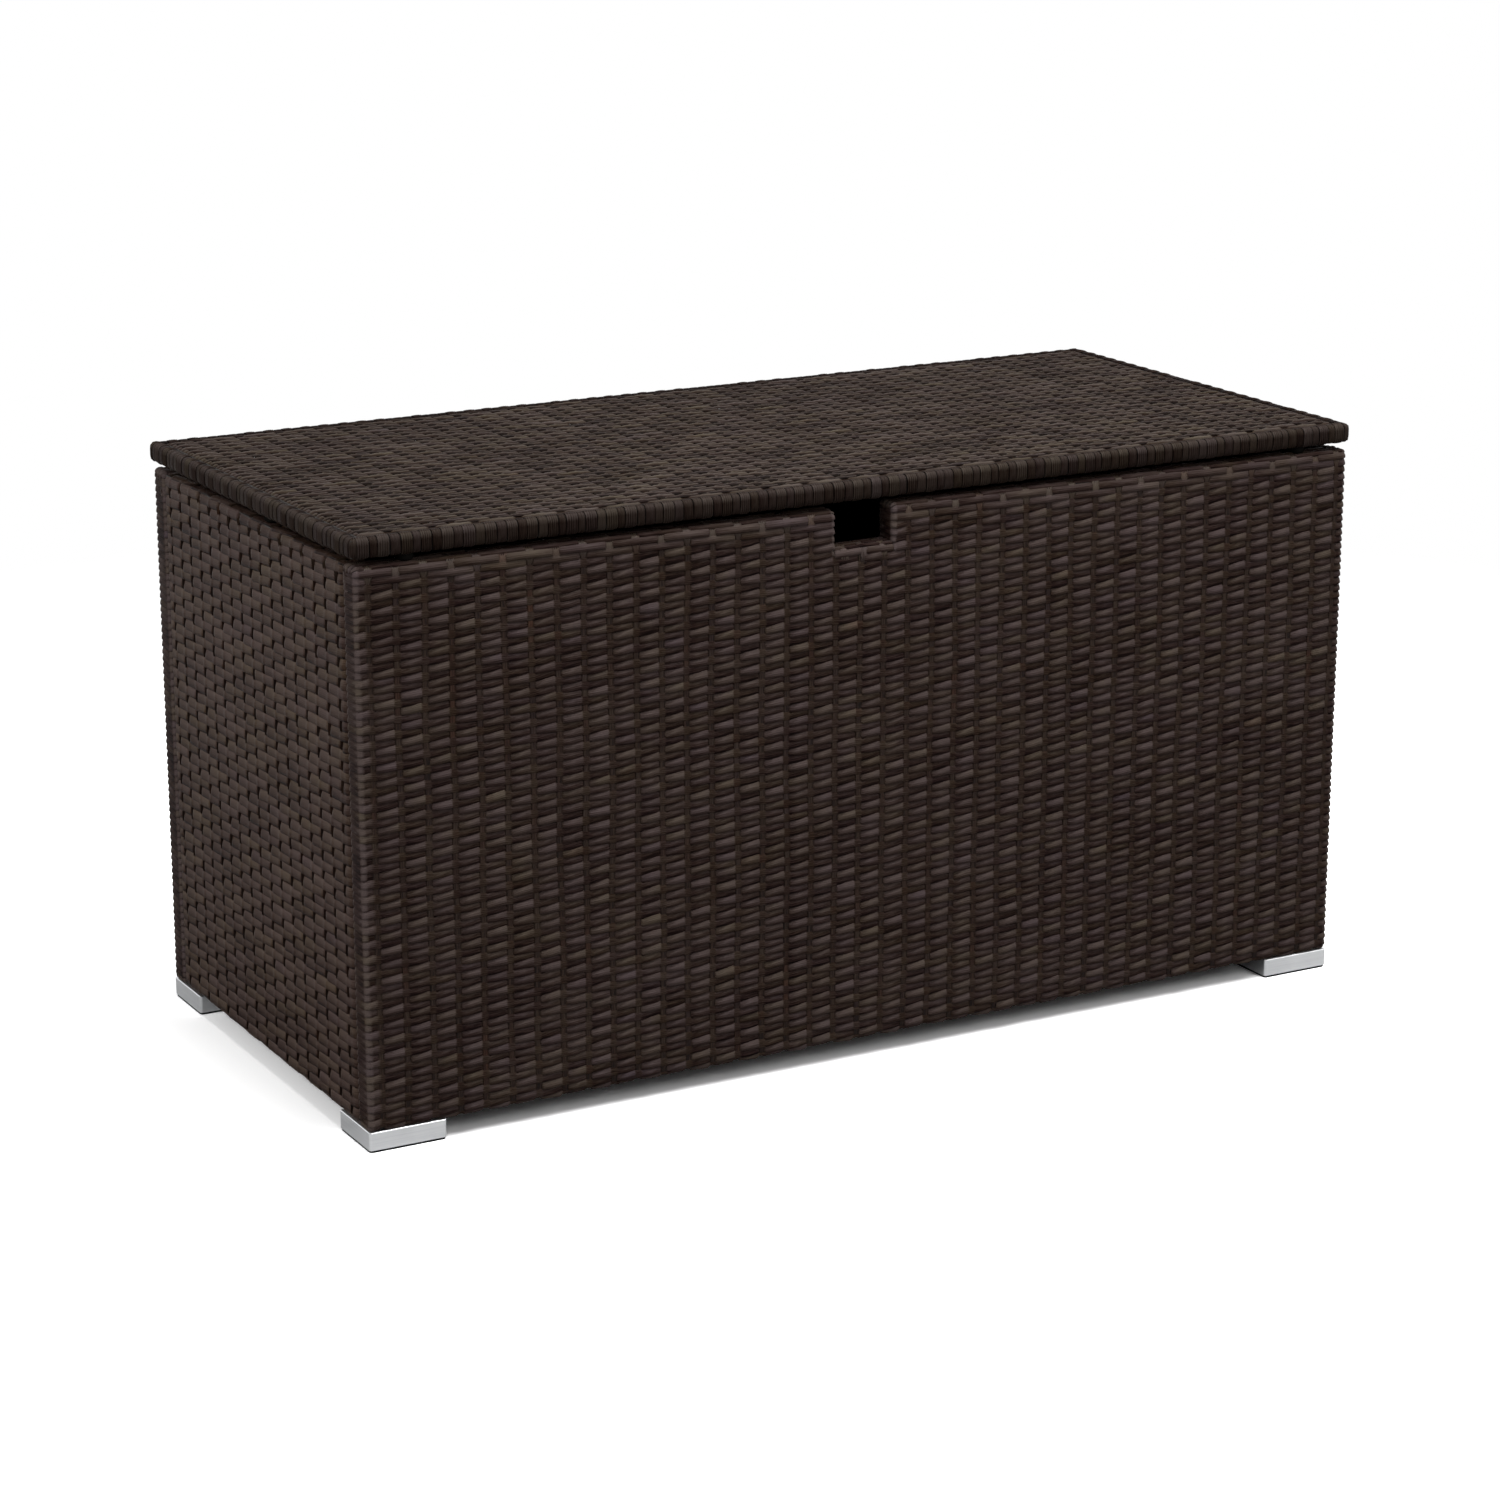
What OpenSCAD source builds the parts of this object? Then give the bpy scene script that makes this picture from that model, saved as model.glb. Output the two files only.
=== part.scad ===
// Woven storage chest that serves as a low garden table.
// Four woven panels and a woven floor on welded tube frames, a hinged woven lid, two gas stays and four feet.
// Millimetres. X runs along the chest, Y from front to back, Z up. The origin is on the floor under the middle.

/* [Chest] */
// Length of the woven body, left to right
body_w = 1200; // [1000:10:1400]
// Depth of the woven body, front to back
body_d = 550; // [480:10:650]
// Height of the woven body, without its feet
body_h = 587; // [480:1:660]
// Thickness of a woven wall, over its frame tube
panel_t = 30; // [28:1:34]
// Thickness of the woven skin on each face of a frame tube
skin_t = 2.5; // [2:0.5:3]
// Radius of the rolled edges of a woven wall
edge_r = 6; // [4:0.5:8]
// Radius of a woven wall's corners, seen from the front
corner_r = 7; // [6:1:12]
// Thickness of the woven floor, over its frame tube
floor_t = 25; // [22:1:28]

/* [Lid] */
// Thickness of the lid
lid_t = 22; // [20:1:28]
// Space between the lid and the body
lid_gap = 7.5; // [7:0.5:10]
// How far the lid reaches past the body at each end
lid_end_reach = 4; // [0:1:8]
// How far the lid reaches past the body at the front and the back
lid_front_reach = 1; // [1:1:4]
// Radius of the lid's rolled edge
lid_edge_r = 8; // [6:0.5:9]
// Radius of the lid's corners, seen from above
lid_corner_r = 12; // [10:1:20]
// Width of the bound edge on the top of the lid
binding_w = 13; // [10:1:18]
// How far the lid opens, in degrees
lid_open = 80; // [70:1:85]

/* [Finger notch] */
// Width of the notch in the front wall
notch_w = 68; // [50:1:100]
// Depth of the notch below the rim
notch_h = 40; // [30:1:60]
// Middle of the notch, measured from the middle of the chest
notch_x = -24; // [-60:1:60]

/* [Feet] */
// Size of a foot along the chest
foot_w = 86; // [70:1:110]
// Size of a foot across the chest
foot_d = 78; // [70:1:90]
// Height of the metal foot
foot_h = 19.5; // [15:0.5:40]
// Thickness of the glide pad under a foot
pad_t = 2.5; // [2:0.5:5]

/* [Frames] */
// Wall thickness of every frame tube
wall_t = 1.5; // [1:0.1:2]
// Distance of the lid's and the floor's cross tubes from the middle
cross_x = 195; // [150:5:240]

/* [Hinges] */
// Distance of the outer hinges from the middle
hinge_x = 420; // [300:10:480]
// Length of one hinge
hinge_len = 60; // [50:1:80]
// Width of a hinge leaf, from the pin
leaf_w = 25; // [22:1:25]
// Thickness of a hinge leaf
leaf_t = 1.5; // [1.2:0.1:1.6]
// Radius of the hinge pins
pin_r = 2; // [1.5:0.1:2.2]

/* [Gas stays] */
// Distance from the hinge line to a stay's pivot on the lid
stay_reach = 130; // [120:5:140]
// Depth of a stay's lower pivot below the rim
stay_drop = 170; // [165:5:200]
// Radius of a stay's cylinder
cylinder_r = 8; // [7:0.5:9]
// Radius of a stay's rod
rod_r = 4; // [3:0.5:5]

/* [Hidden] */
$fn = 48;

// Heights
body_z = pad_t + foot_h;
rim_z = body_z + body_h;
lid_z = rim_z + lid_gap;
top_z = lid_z + lid_t;

// Frames
seam = 0.5;
tube = panel_t - 2 * skin_t;
floor_tube = floor_t - 2 * skin_t;
lid_tube = lid_t - 2 * skin_t;
side_w = body_d - 2 * panel_t - 2 * seam;
floor_w = body_w - 2 * panel_t - 2;
floor_d = body_d - 2 * panel_t - 2;
lid_w = body_w + 2 * lid_end_reach;
lid_d = body_d + 2 * lid_front_reach;
vent_r = 3;

// Fasteners
bolt_r = 3;
bolt_hole_r = 3.05;
bolt_head_r = 5.5;
bolt_head_h = 3.3;
bolt_reach = 12;
bolt_z = [45, body_h / 2, body_h - 45];
nut_r = 4.5;
nut_flange_r = 6;
nut_flange_t = 1;
screw_r = 2;
screw_hole_r = 2.05;
screw_head_r = 3.5;
screw_len = 14;

// Hinges: five knuckles about one pin, in the gap under the lid's back edge
knuckles = 5;
knuckle_len = hinge_len / knuckles;
knuckle_gap = 0.3;
knuckle_r = lid_gap / 2 - 0.35;
pin_bore_r = pin_r + 0.05;
hinge_y = body_d / 2 - 2.5;
hinge_z = rim_z + lid_gap / 2;
leaf_screw_x = [-20, 0, 20];
leaf_screw_y = -16.5;

// Gas stays: the lower pivot B is on the side frame's back stile, the upper pivot C is on the lid
stay_x = body_w / 2 - panel_t - 14;
stile_y = body_d / 2 - panel_t - seam - panel_t / 2;
stay_b = [stile_y - 4.5, rim_z - stay_drop];
stay_c = [hinge_y - stay_reach, rim_z - 6];
stay_len = norm(stay_c - stay_b);
stay_lean = atan2(stay_b[0] - stay_c[0], stay_c[1] - stay_b[1]);
stay_open_c = [
    hinge_y + (stay_c[0] - hinge_y) * cos(lid_open) + (stay_c[1] - hinge_z) * sin(lid_open),
    hinge_z - (stay_c[0] - hinge_y) * sin(lid_open) + (stay_c[1] - hinge_z) * cos(lid_open)
];
stay_stroke = norm(stay_open_c - stay_b) - stay_len;
eye_r = 8;
eye_w = 10;
stud_r = 4;
stud_hole_r = 4.05;
cylinder_wall = 1.5;
cylinder_start = 11;
cylinder_end = stay_len - 22;
guide_len = 12;
piston_h = 8;
piston_start = cylinder_start + 5;

// Feet
foot_wall = 2;
foot_screw_len = 14;
foot_screw_head_h = 3;
foot_screw_at = [
    [foot_w - 18, panel_t / 2],
    [panel_t / 2, foot_d - 18],
    [foot_w - 20, panel_t + 14]
];

// Colours
brown = [0.18, 0.145, 0.135];
bound_brown = [0.2, 0.16, 0.15];
frame_grey = [0.32, 0.32, 0.33];
satin_metal = [0.78, 0.79, 0.8];
steel = [0.6, 0.61, 0.63];
black = [0.06, 0.06, 0.06];

// ---------------------------------------------------------------- shapes

// A rectangle with rounded corners, centred on the origin.
module round_rect(w, h, r) {
    square([w - 2 * r, h], center = true);
    square([w, h - 2 * r], center = true);
    for (sx = [-1, 1], sy = [-1, 1])
        translate([sx * (w / 2 - r), sy * (h / 2 - r)]) circle(r);
}

// A slab whose long edges are all rolled. Its outer face is y = 0, and it stands on z = 0.
module rolled_slab(w, h, t, er, cr) {
    intersection() {
        translate([0, t / 2, 0]) linear_extrude(h) round_rect(w, t, er);
        translate([0, t / 2, h / 2]) rotate([90, 0, 90]) linear_extrude(w, center = true) round_rect(t, h, er);
        translate([0, t / 2, h / 2]) rotate([90, 0, 0]) linear_extrude(t, center = true) round_rect(w, h, cr);
    }
}

// The tubes of one welded frame, as solid bars, or the hollow inside them when core is true.
// a is the tube's size in the frame's plane and b is its size across it.
module frame_bars(w, h, a, b, mid_x, core = false) {
    i = core ? wall_t : 0;
    x0 = w / 2 - skin_t;
    for (z = [skin_t, h - skin_t - a])
        translate([-x0 + i, skin_t + i, z + i]) cube([2 * (x0 - i), b - 2 * i, a - 2 * i]);
    for (x = concat([-x0, x0 - a], [for (m = mid_x) m - a / 2]))
        translate([x + i, skin_t + i, skin_t + a]) cube([a - 2 * i, b - 2 * i, h - 2 * (skin_t + a)]);
}

// Drain holes: one from the inner side of each upright, and one from the inner side of each rail.
module drain_holes(w, h, a, b, mid_x) {
    far = w / 2 - skin_t - a / 2;
    for (x = concat([-far, far], mid_x))
        translate([x, skin_t + b - 2 * wall_t, 2 * skin_t + 2 * a]) rotate([-90, 0, 0]) cylinder(r = vent_r, h = 3 * wall_t);
    for (z = [skin_t + a / 2, h - skin_t - a / 2])
        translate([w / 4, skin_t + b - 2 * wall_t, z]) rotate([-90, 0, 0]) cylinder(r = vent_r, h = 3 * wall_t);
}

module frame_tubes(w, h, a, b, mid_x) {
    difference() {
        frame_bars(w, h, a, b, mid_x);
        frame_bars(w, h, a, b, mid_x, true);
        drain_holes(w, h, a, b, mid_x);
    }
}

// A woven skin wrapped round its frame: a thin sheet on the outer face and a bound rim.
module woven_skin(w, h, t, er, cr, a, b, mid_x) {
    rim = a + 2 * skin_t;
    difference() {
        rolled_slab(w, h, t, er, cr);
        translate([-(w / 2 - rim), skin_t, rim]) cube([w - 2 * rim, t, h - 2 * rim]);
        frame_bars(w, h, a, b, mid_x);
    }
}

// ---------------------------------------------------------------- places

module at_front() { translate([0, -body_d / 2, body_z]) children(); }
module at_back() { rotate([0, 0, 180]) at_front() children(); }
module at_left() { translate([-body_w / 2, 0, body_z]) rotate([0, 0, -90]) children(); }
module at_right() { rotate([0, 0, 180]) at_left() children(); }
module at_floor() { translate([0, -floor_d / 2, body_z + floor_t]) rotate([-90, 0, 0]) children(); }
module at_lid() { translate([0, -lid_d / 2, top_z]) rotate([-90, 0, 0]) children(); }

// Places one thing at the front left corner and its mirror images at the others.
module at_corner(sx, sy) { mirror([sx > 0 ? 1 : 0, 0, 0]) mirror([0, sy > 0 ? 1 : 0, 0]) children(); }
module at_each_corner() { for (sx = [-1, 1], sy = [-1, 1]) at_corner(sx, sy) children(); }
module at_each_end() { for (sx = [-1, 1]) mirror([sx > 0 ? 1 : 0, 0, 0]) children(); }

// A wall bolt's axis: along -Y from the side frame's stile into the front frame's stile.
module at_wall_bolts() {
    at_each_corner()
        for (z = bolt_z)
            translate([-body_w / 2 + panel_t / 2, -body_d / 2 + 2 * panel_t + seam, body_z + z]) rotate([90, 0, 0]) children();
}

// A foot screw's axis: straight up through the foot's top plate.
module at_foot_screws() {
    at_each_corner()
        for (p = foot_screw_at)
            translate([-body_w / 2 + p[0], -body_d / 2 + p[1], body_z - foot_wall]) children();
}

module at_hinges() { for (x = [-hinge_x, 0, hinge_x]) translate([x, hinge_y, hinge_z]) children(); }
module at_leaf_screws() { at_hinges() for (x = leaf_screw_x) translate([x, leaf_screw_y, 0]) children(); }

// ---------------------------------------------------------------- holes

module wall_bolt_holes() {
    at_wall_bolts() {
        translate([0, 0, -0.1]) cylinder(r = bolt_hole_r, h = panel_t + seam + 0.2);
        translate([0, 0, panel_t + seam - 1]) cylinder(r = bolt_hole_r, h = skin_t + wall_t + bolt_reach + 2);
    }
}

module rivet_nut_seats() {
    at_wall_bolts() translate([0, 0, panel_t + seam]) {
        cylinder(r = nut_r, h = skin_t + wall_t + bolt_reach);
        translate([0, 0, skin_t - nut_flange_t]) cylinder(r = nut_flange_r, h = nut_flange_t);
    }
}

module foot_screw_holes() { at_foot_screws() translate([0, 0, -0.1]) cylinder(r = bolt_hole_r, h = foot_screw_len + 0.2); }
module base_leaf_screw_holes() { at_leaf_screws() translate([0, 0, -screw_len - 0.1]) cylinder(r = screw_hole_r, h = screw_len); }
module lid_leaf_screw_holes() { at_leaf_screws() translate([0, 0, 0.1]) cylinder(r = screw_hole_r, h = screw_len); }

// ---------------------------------------------------------------- frames

// Solid bars of the U that carries the rim round the finger notch.
module notch_bars(core = false) {
    i = core ? wall_t : 0;
    inner = notch_w / 2 + skin_t;
    sill = body_h - notch_h - skin_t;
    translate([notch_x - inner - tube + i, skin_t + i, sill - tube + i])
        cube([2 * (inner + tube - i), tube - 2 * i, tube - 2 * i]);
    for (x = [-inner - tube, inner])
        translate([notch_x + x + i, skin_t + i, sill]) cube([tube - 2 * i, tube - 2 * i, notch_h - i]);
}

module front_bars(core = false) {
    reach = notch_w / 2 + skin_t + tube;
    drop = notch_h + 2 * skin_t + tube;
    difference() {
        frame_bars(body_w, body_h, tube, tube, [notch_x], core);
        translate([notch_x - reach, 0, body_h - drop + skin_t]) cube([2 * reach, panel_t, drop]);
    }
    notch_bars(core);
}

module front_frame() {
    color(frame_grey) difference() {
        at_front() difference() {
            front_bars();
            front_bars(true);
            drain_holes(body_w, body_h, tube, tube, [notch_x]);
        }
        rivet_nut_seats();
        foot_screw_holes();
    }
}

module back_frame() {
    color(frame_grey) difference() {
        at_back() frame_tubes(body_w, body_h, tube, tube, [0]);
        rivet_nut_seats();
        foot_screw_holes();
        base_leaf_screw_holes();
    }
}

module left_frame() {
    color(frame_grey) difference() {
        at_left() frame_tubes(side_w, body_h, tube, tube, []);
        wall_bolt_holes();
        foot_screw_holes();
        stay_base_screw_holes();
    }
}

module right_frame() {
    color(frame_grey) difference() {
        at_right() frame_tubes(side_w, body_h, tube, tube, []);
        wall_bolt_holes();
        foot_screw_holes();
        stay_base_screw_holes();
    }
}

module floor_frame() {
    color(frame_grey) difference() {
        at_floor() frame_tubes(floor_w, floor_d, floor_tube, floor_tube, [-cross_x, cross_x]);
        foot_screw_holes();
    }
}

module lid_frame() {
    color(frame_grey) difference() {
        at_lid() frame_tubes(lid_w, lid_d, tube, lid_tube, [-cross_x, cross_x]);
        lid_leaf_screw_holes();
        bumper_holes();
        stay_lid_screw_holes();
    }
}

// ---------------------------------------------------------------- woven skins

module front_weave() {
    reach = notch_w / 2 + 2 * skin_t + tube;
    drop = notch_h + 2 * skin_t + tube;
    rim = panel_t;
    color(brown) difference() {
        at_front() difference() {
            rolled_slab(body_w, body_h, panel_t, edge_r, corner_r);
            difference() {
                translate([-(body_w / 2 - rim), skin_t, rim]) cube([body_w - 2 * rim, panel_t, body_h - 2 * rim]);
                translate([notch_x - reach, 0, body_h - drop]) cube([2 * reach, panel_t, drop]);
            }
            front_bars();
            translate([notch_x - notch_w / 2, -1, body_h - notch_h]) cube([notch_w, panel_t + 2, notch_h + 1]);
        }
        rivet_nut_seats();
        foot_screw_holes();
    }
}

module back_weave() {
    color(brown) difference() {
        at_back() woven_skin(body_w, body_h, panel_t, edge_r, corner_r, tube, tube, [0]);
        rivet_nut_seats();
        foot_screw_holes();
        base_leaf_screw_holes();
    }
}

module left_weave() {
    color(brown) difference() {
        at_left() woven_skin(side_w, body_h, panel_t, edge_r, corner_r, tube, tube, []);
        wall_bolt_holes();
        foot_screw_holes();
        stay_base_screw_holes();
    }
}

module right_weave() {
    color(brown) difference() {
        at_right() woven_skin(side_w, body_h, panel_t, edge_r, corner_r, tube, tube, []);
        wall_bolt_holes();
        foot_screw_holes();
        stay_base_screw_holes();
    }
}

module floor_weave() {
    color(brown) difference() {
        at_floor() woven_skin(floor_w, floor_d, floor_t, skin_t, corner_r, floor_tube, floor_tube, [-cross_x, cross_x]);
        foot_screw_holes();
    }
}

// The sheet inside the lid's bound edge.
module lid_sheet_space() {
    translate([-lid_w / 2 + binding_w, -1, binding_w])
        cube([lid_w - 2 * binding_w, skin_t + 1, lid_d - 2 * binding_w]);
}

module lid_weave() {
    color(brown) at_lid() intersection() {
        lid_sheet_space();
        translate([-lid_w / 2, 0, 0]) cube([lid_w, skin_t, lid_d]);
    }
}

module lid_binding() {
    color(bound_brown) difference() {
        at_lid() difference() {
            woven_skin(lid_w, lid_d, lid_t, lid_edge_r, lid_corner_r, tube, lid_tube, [-cross_x, cross_x]);
            lid_sheet_space();
        }
        lid_leaf_screw_holes();
        bumper_holes();
        stay_lid_screw_holes();
    }
}

// ---------------------------------------------------------------- wall bolts

module wall_bolts() {
    color(steel) at_wall_bolts() {
        cylinder(r = bolt_r, h = panel_t + seam + skin_t + wall_t + bolt_reach - 2);
        translate([0, 0, -bolt_head_h]) difference() {
            cylinder(r = bolt_head_r, h = bolt_head_h);
            translate([0, 0, -0.1]) cylinder(r = 2.3, h = 2, $fn = 6);
        }
    }
}

module rivet_nuts() {
    color(steel) difference() {
        rivet_nut_seats();
        wall_bolt_holes();
    }
}

// ---------------------------------------------------------------- feet

module foot_shell() {
    top_r = 1.2;
    side_r = 3;
    difference() {
        intersection() {
            linear_extrude(foot_h) round_rect(foot_w, foot_d, side_r);
            translate([0, 0, foot_h / 2 - top_r]) rotate([90, 0, 90])
                linear_extrude(foot_w, center = true) round_rect(foot_d, foot_h + 2 * top_r, top_r);
            translate([0, 0, foot_h / 2 - top_r]) rotate([90, 0, 0])
                linear_extrude(foot_d, center = true) round_rect(foot_w, foot_h + 2 * top_r, top_r);
        }
        translate([0, 0, -1]) linear_extrude(foot_h - foot_wall + 1)
            round_rect(foot_w - 2 * foot_wall, foot_d - 2 * foot_wall, 1);
    }
}

module foot(sx, sy) {
    color(satin_metal) difference() {
        translate([sx * (body_w - foot_w) / 2, sy * (body_d - foot_d) / 2, pad_t]) foot_shell();
        foot_screw_holes();
    }
}

// A plate under the foot with a rim that plugs into it.
module pad(sx, sy) {
    plug = foot_wall + 0.15;
    color(black) translate([sx * (body_w - foot_w) / 2, sy * (body_d - foot_d) / 2, 0]) {
        linear_extrude(pad_t) round_rect(foot_w - 1.4, foot_d - 1.4, 4);
        translate([0, 0, pad_t]) linear_extrude(6) difference() {
            round_rect(foot_w - 2 * plug, foot_d - 2 * plug, 1);
            round_rect(foot_w - 2 * plug - 4, foot_d - 2 * plug - 4, 1);
        }
    }
}

module foot_front_left() { foot(-1, -1); }
module foot_front_right() { foot(1, -1); }
module foot_back_left() { foot(-1, 1); }
module foot_back_right() { foot(1, 1); }
module pad_front_left() { pad(-1, -1); }
module pad_front_right() { pad(1, -1); }
module pad_back_left() { pad(-1, 1); }
module pad_back_right() { pad(1, 1); }

module foot_screws() {
    color(steel) at_foot_screws() {
        cylinder(r = bolt_r, h = foot_screw_len);
        translate([0, 0, -foot_screw_head_h]) cylinder(r = bolt_head_r, h = foot_screw_head_h);
    }
}

// ---------------------------------------------------------------- hinges

// One leaf about the pin's axis. side is -1 for the leaf on the rim and 1 for the leaf under the lid.
module hinge_leaf(side) {
    face = lid_gap / 2;
    clear = knuckle_r + 0.6;
    first = side < 0 ? 0 : 1;
    color(steel) mirror([0, 0, side > 0 ? 1 : 0]) difference() {
        union() {
            translate([-hinge_len / 2, -leaf_w, -face]) cube([hinge_len, leaf_w - clear, leaf_t]);
            for (k = [first : 2 : knuckles - 1])
                translate([-hinge_len / 2 + k * knuckle_len + knuckle_gap / 2, 0, 0]) {
                    rotate([0, 90, 0]) cylinder(r = knuckle_r, h = knuckle_len - knuckle_gap);
                    translate([0, -clear, -knuckle_r]) cube([knuckle_len - knuckle_gap, clear, leaf_t - (face - knuckle_r)]);
                }
        }
        translate([-hinge_len, 0, 0]) rotate([0, 90, 0]) cylinder(r = pin_bore_r, h = 2 * hinge_len);
        for (x = leaf_screw_x)
            translate([x, leaf_screw_y, -face - 0.01])
                cylinder(r1 = screw_hole_r, r2 = screw_head_r + 0.1, h = leaf_t + 0.02);
    }
}

module hinge_pin() {
    color(steel) rotate([0, 90, 0]) {
        cylinder(r = pin_r, h = hinge_len + 1, center = true);
        for (s = [-1, 1]) translate([0, 0, s * (hinge_len / 2 + 1)]) cylinder(r = pin_r + 0.8, h = 1, center = true);
    }
}

// A countersunk screw, its head flush with the leaf. side is as for the leaf.
module leaf_screws(side) {
    face = lid_gap / 2;
    color(steel) at_leaf_screws() mirror([0, 0, side > 0 ? 1 : 0]) {
        translate([0, 0, -screw_len]) cylinder(r = screw_r, h = screw_len - face + 0.1);
        translate([0, 0, -face]) cylinder(r1 = screw_r, r2 = screw_head_r, h = leaf_t);
    }
}

module hinge_base_left() { translate([-hinge_x, hinge_y, hinge_z]) hinge_leaf(-1); }
module hinge_base_middle() { translate([0, hinge_y, hinge_z]) hinge_leaf(-1); }
module hinge_base_right() { translate([hinge_x, hinge_y, hinge_z]) hinge_leaf(-1); }
module hinge_lid_left() { translate([-hinge_x, hinge_y, hinge_z]) hinge_leaf(1); }
module hinge_lid_middle() { translate([0, hinge_y, hinge_z]) hinge_leaf(1); }
module hinge_lid_right() { translate([hinge_x, hinge_y, hinge_z]) hinge_leaf(1); }
module hinge_pin_left() { translate([-hinge_x, hinge_y, hinge_z]) hinge_pin(); }
module hinge_pin_middle() { translate([0, hinge_y, hinge_z]) hinge_pin(); }
module hinge_pin_right() { translate([hinge_x, hinge_y, hinge_z]) hinge_pin(); }
module hinge_base_screws() { leaf_screws(-1); }
module hinge_lid_screws() { leaf_screws(1); }

// ---------------------------------------------------------------- bumpers

bumper_r = 9;
bumper_h = lid_gap - 0.3;
bumper_stem_r = 2.5;
bumper_at = [[-body_w / 2 + 60, -lid_d / 2 + panel_t / 2], [-lid_w / 2 + panel_t / 2 + 1, -40]];

module at_bumper(i, sx) { mirror([sx > 0 ? 1 : 0, 0, 0]) translate([bumper_at[i][0], bumper_at[i][1], lid_z]) children(); }

module bumper_holes() {
    for (i = [0, 1], sx = [-1, 1]) at_bumper(i, sx) translate([0, 0, -0.1]) cylinder(r = bumper_stem_r, h = 8.1);
}

module bumper(i, sx) {
    color(black) at_bumper(i, sx) {
        translate([0, 0, -bumper_h]) rotate_extrude() polygon([
            [0, 0], [bumper_r - 2, 0], [bumper_r - 0.6, 0.8], [bumper_r, 2.5], [bumper_r, bumper_h], [0, bumper_h]
        ]);
        cylinder(r = bumper_stem_r, h = 8);
    }
}

module bumper_front_left() { bumper(0, -1); }
module bumper_front_right() { bumper(0, 1); }
module bumper_side_left() { bumper(1, -1); }
module bumper_side_right() { bumper(1, 1); }

// ---------------------------------------------------------------- gas stays

// Frame of the left stay at rest: the lower pivot at the origin, Z along the rod, X towards the middle.
module at_stay() { translate([-stay_x, stay_b[0], stay_b[1]]) rotate([stay_lean, 0, 0]) children(); }
module along_x(x, r, h) { translate([x, 0, 0]) rotate([0, 90, 0]) cylinder(r = r, h = h); }

// Lower bracket: a plate on the stile with a stud for the cylinder's eye.
stay_wall = -14;
bracket_t = 2;
plate_y = stile_y - stay_b[0];
stay_base_screw_at = [-17, 17];

module stay_base_left() {
    color(steel) translate([-stay_x, stay_b[0], stay_b[1]]) {
        difference() {
            translate([stay_wall, plate_y, 0]) rotate([90, 0, 90]) linear_extrude(bracket_t) round_rect(24, 52, 4);
            for (z = stay_base_screw_at) translate([0, plate_y, z]) along_x(stay_wall - 1, bolt_hole_r, 5);
        }
        along_x(stay_wall, 6, -stay_wall - eye_w / 2 - 0.3);
        along_x(stay_wall, stud_r, -stay_wall + eye_w / 2 + 2);
        along_x(eye_w / 2 + 0.3, stud_r + 2, 1.7);
    }
}

module stay_base_right() { mirror([1, 0, 0]) stay_base_left(); }

module stay_base_screw_holes() {
    at_each_end() translate([-stay_x, stay_b[0], stay_b[1]])
        for (z = stay_base_screw_at) translate([0, plate_y, z]) along_x(stay_wall - foot_screw_len, bolt_hole_r, foot_screw_len + 1);
}

module stay_base_screws() {
    color(steel) at_each_end() translate([-stay_x, stay_b[0], stay_b[1]])
        for (z = stay_base_screw_at) translate([0, plate_y, z]) {
            along_x(stay_wall - 10, bolt_r, 10 + bracket_t);
            along_x(stay_wall + bracket_t, bolt_head_r - 0.5, 2.8);
        }
}

// Upper bracket: a plate on the lid's end rail, with an ear that hangs beside the rod's end.
lid_face = -lid_w / 2 + panel_t + stay_x;
ear_x = -12;
stay_lid_screw_at = [-13, 13];
ear_z = stay_c[1] - lid_z;

module at_stay_lid() { translate([-stay_x, stay_c[0], lid_z]) children(); }

module stay_lid_left() {
    color(steel) at_stay_lid() {
        difference() {
            translate([lid_face, 0, 10]) rotate([90, 0, 90]) linear_extrude(bracket_t) round_rect(44, 15, 3);
            for (y = stay_lid_screw_at) translate([0, y, 10]) along_x(lid_face - 1, screw_hole_r, 5);
        }
        translate([lid_face, -10, 2.5]) cube([ear_x + bracket_t - lid_face, 20, bracket_t]);
        translate([ear_x, 0, 0]) rotate([90, 0, 90]) linear_extrude(bracket_t) {
            translate([-10, ear_z]) square([20, 2.5 + bracket_t - ear_z]);
            translate([0, ear_z]) circle(10);
        }
    }
}

module stay_lid_right() { mirror([1, 0, 0]) stay_lid_left(); }

module stay_lid_screw_holes() {
    at_each_end() at_stay_lid()
        for (y = stay_lid_screw_at) translate([0, y, 10]) along_x(lid_face - screw_len, screw_hole_r, screw_len + 1);
}

module stay_lid_screws() {
    color(steel) at_each_end() at_stay_lid()
        for (y = stay_lid_screw_at) translate([0, y, 10]) {
            along_x(lid_face - 8, screw_r, 8 + bracket_t);
            along_x(lid_face + bracket_t, screw_head_r, 2);
        }
}

// Cylinder with the eye that turns on the lower stud.
module stay_cylinder_left() {
    color(black) at_stay() difference() {
        union() {
            along_x(-eye_w / 2, eye_r, eye_w);
            cylinder(r = eye_w / 2 - 0.7, h = cylinder_start);
            translate([0, 0, cylinder_start - 1]) cylinder(r = cylinder_r, h = cylinder_end - cylinder_start + 1);
        }
        along_x(-eye_w, stud_hole_r, 2 * eye_w);
        translate([0, 0, cylinder_start + 2]) cylinder(r = cylinder_r - cylinder_wall, h = cylinder_end);
    }
}

module stay_cylinder_right() { mirror([1, 0, 0]) stay_cylinder_left(); }

// Guide that closes the cylinder round the rod.
module stay_guide_left() {
    color(steel) at_stay() translate([0, 0, cylinder_end]) difference() {
        union() {
            translate([0, 0, -guide_len]) cylinder(r = cylinder_r - cylinder_wall, h = guide_len);
            cylinder(r1 = cylinder_r, r2 = cylinder_r - 2, h = 2);
        }
        translate([0, 0, -guide_len - 1]) cylinder(r = rod_r + 0.05, h = guide_len + 4);
    }
}

module stay_guide_right() { mirror([1, 0, 0]) stay_guide_left(); }

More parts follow.
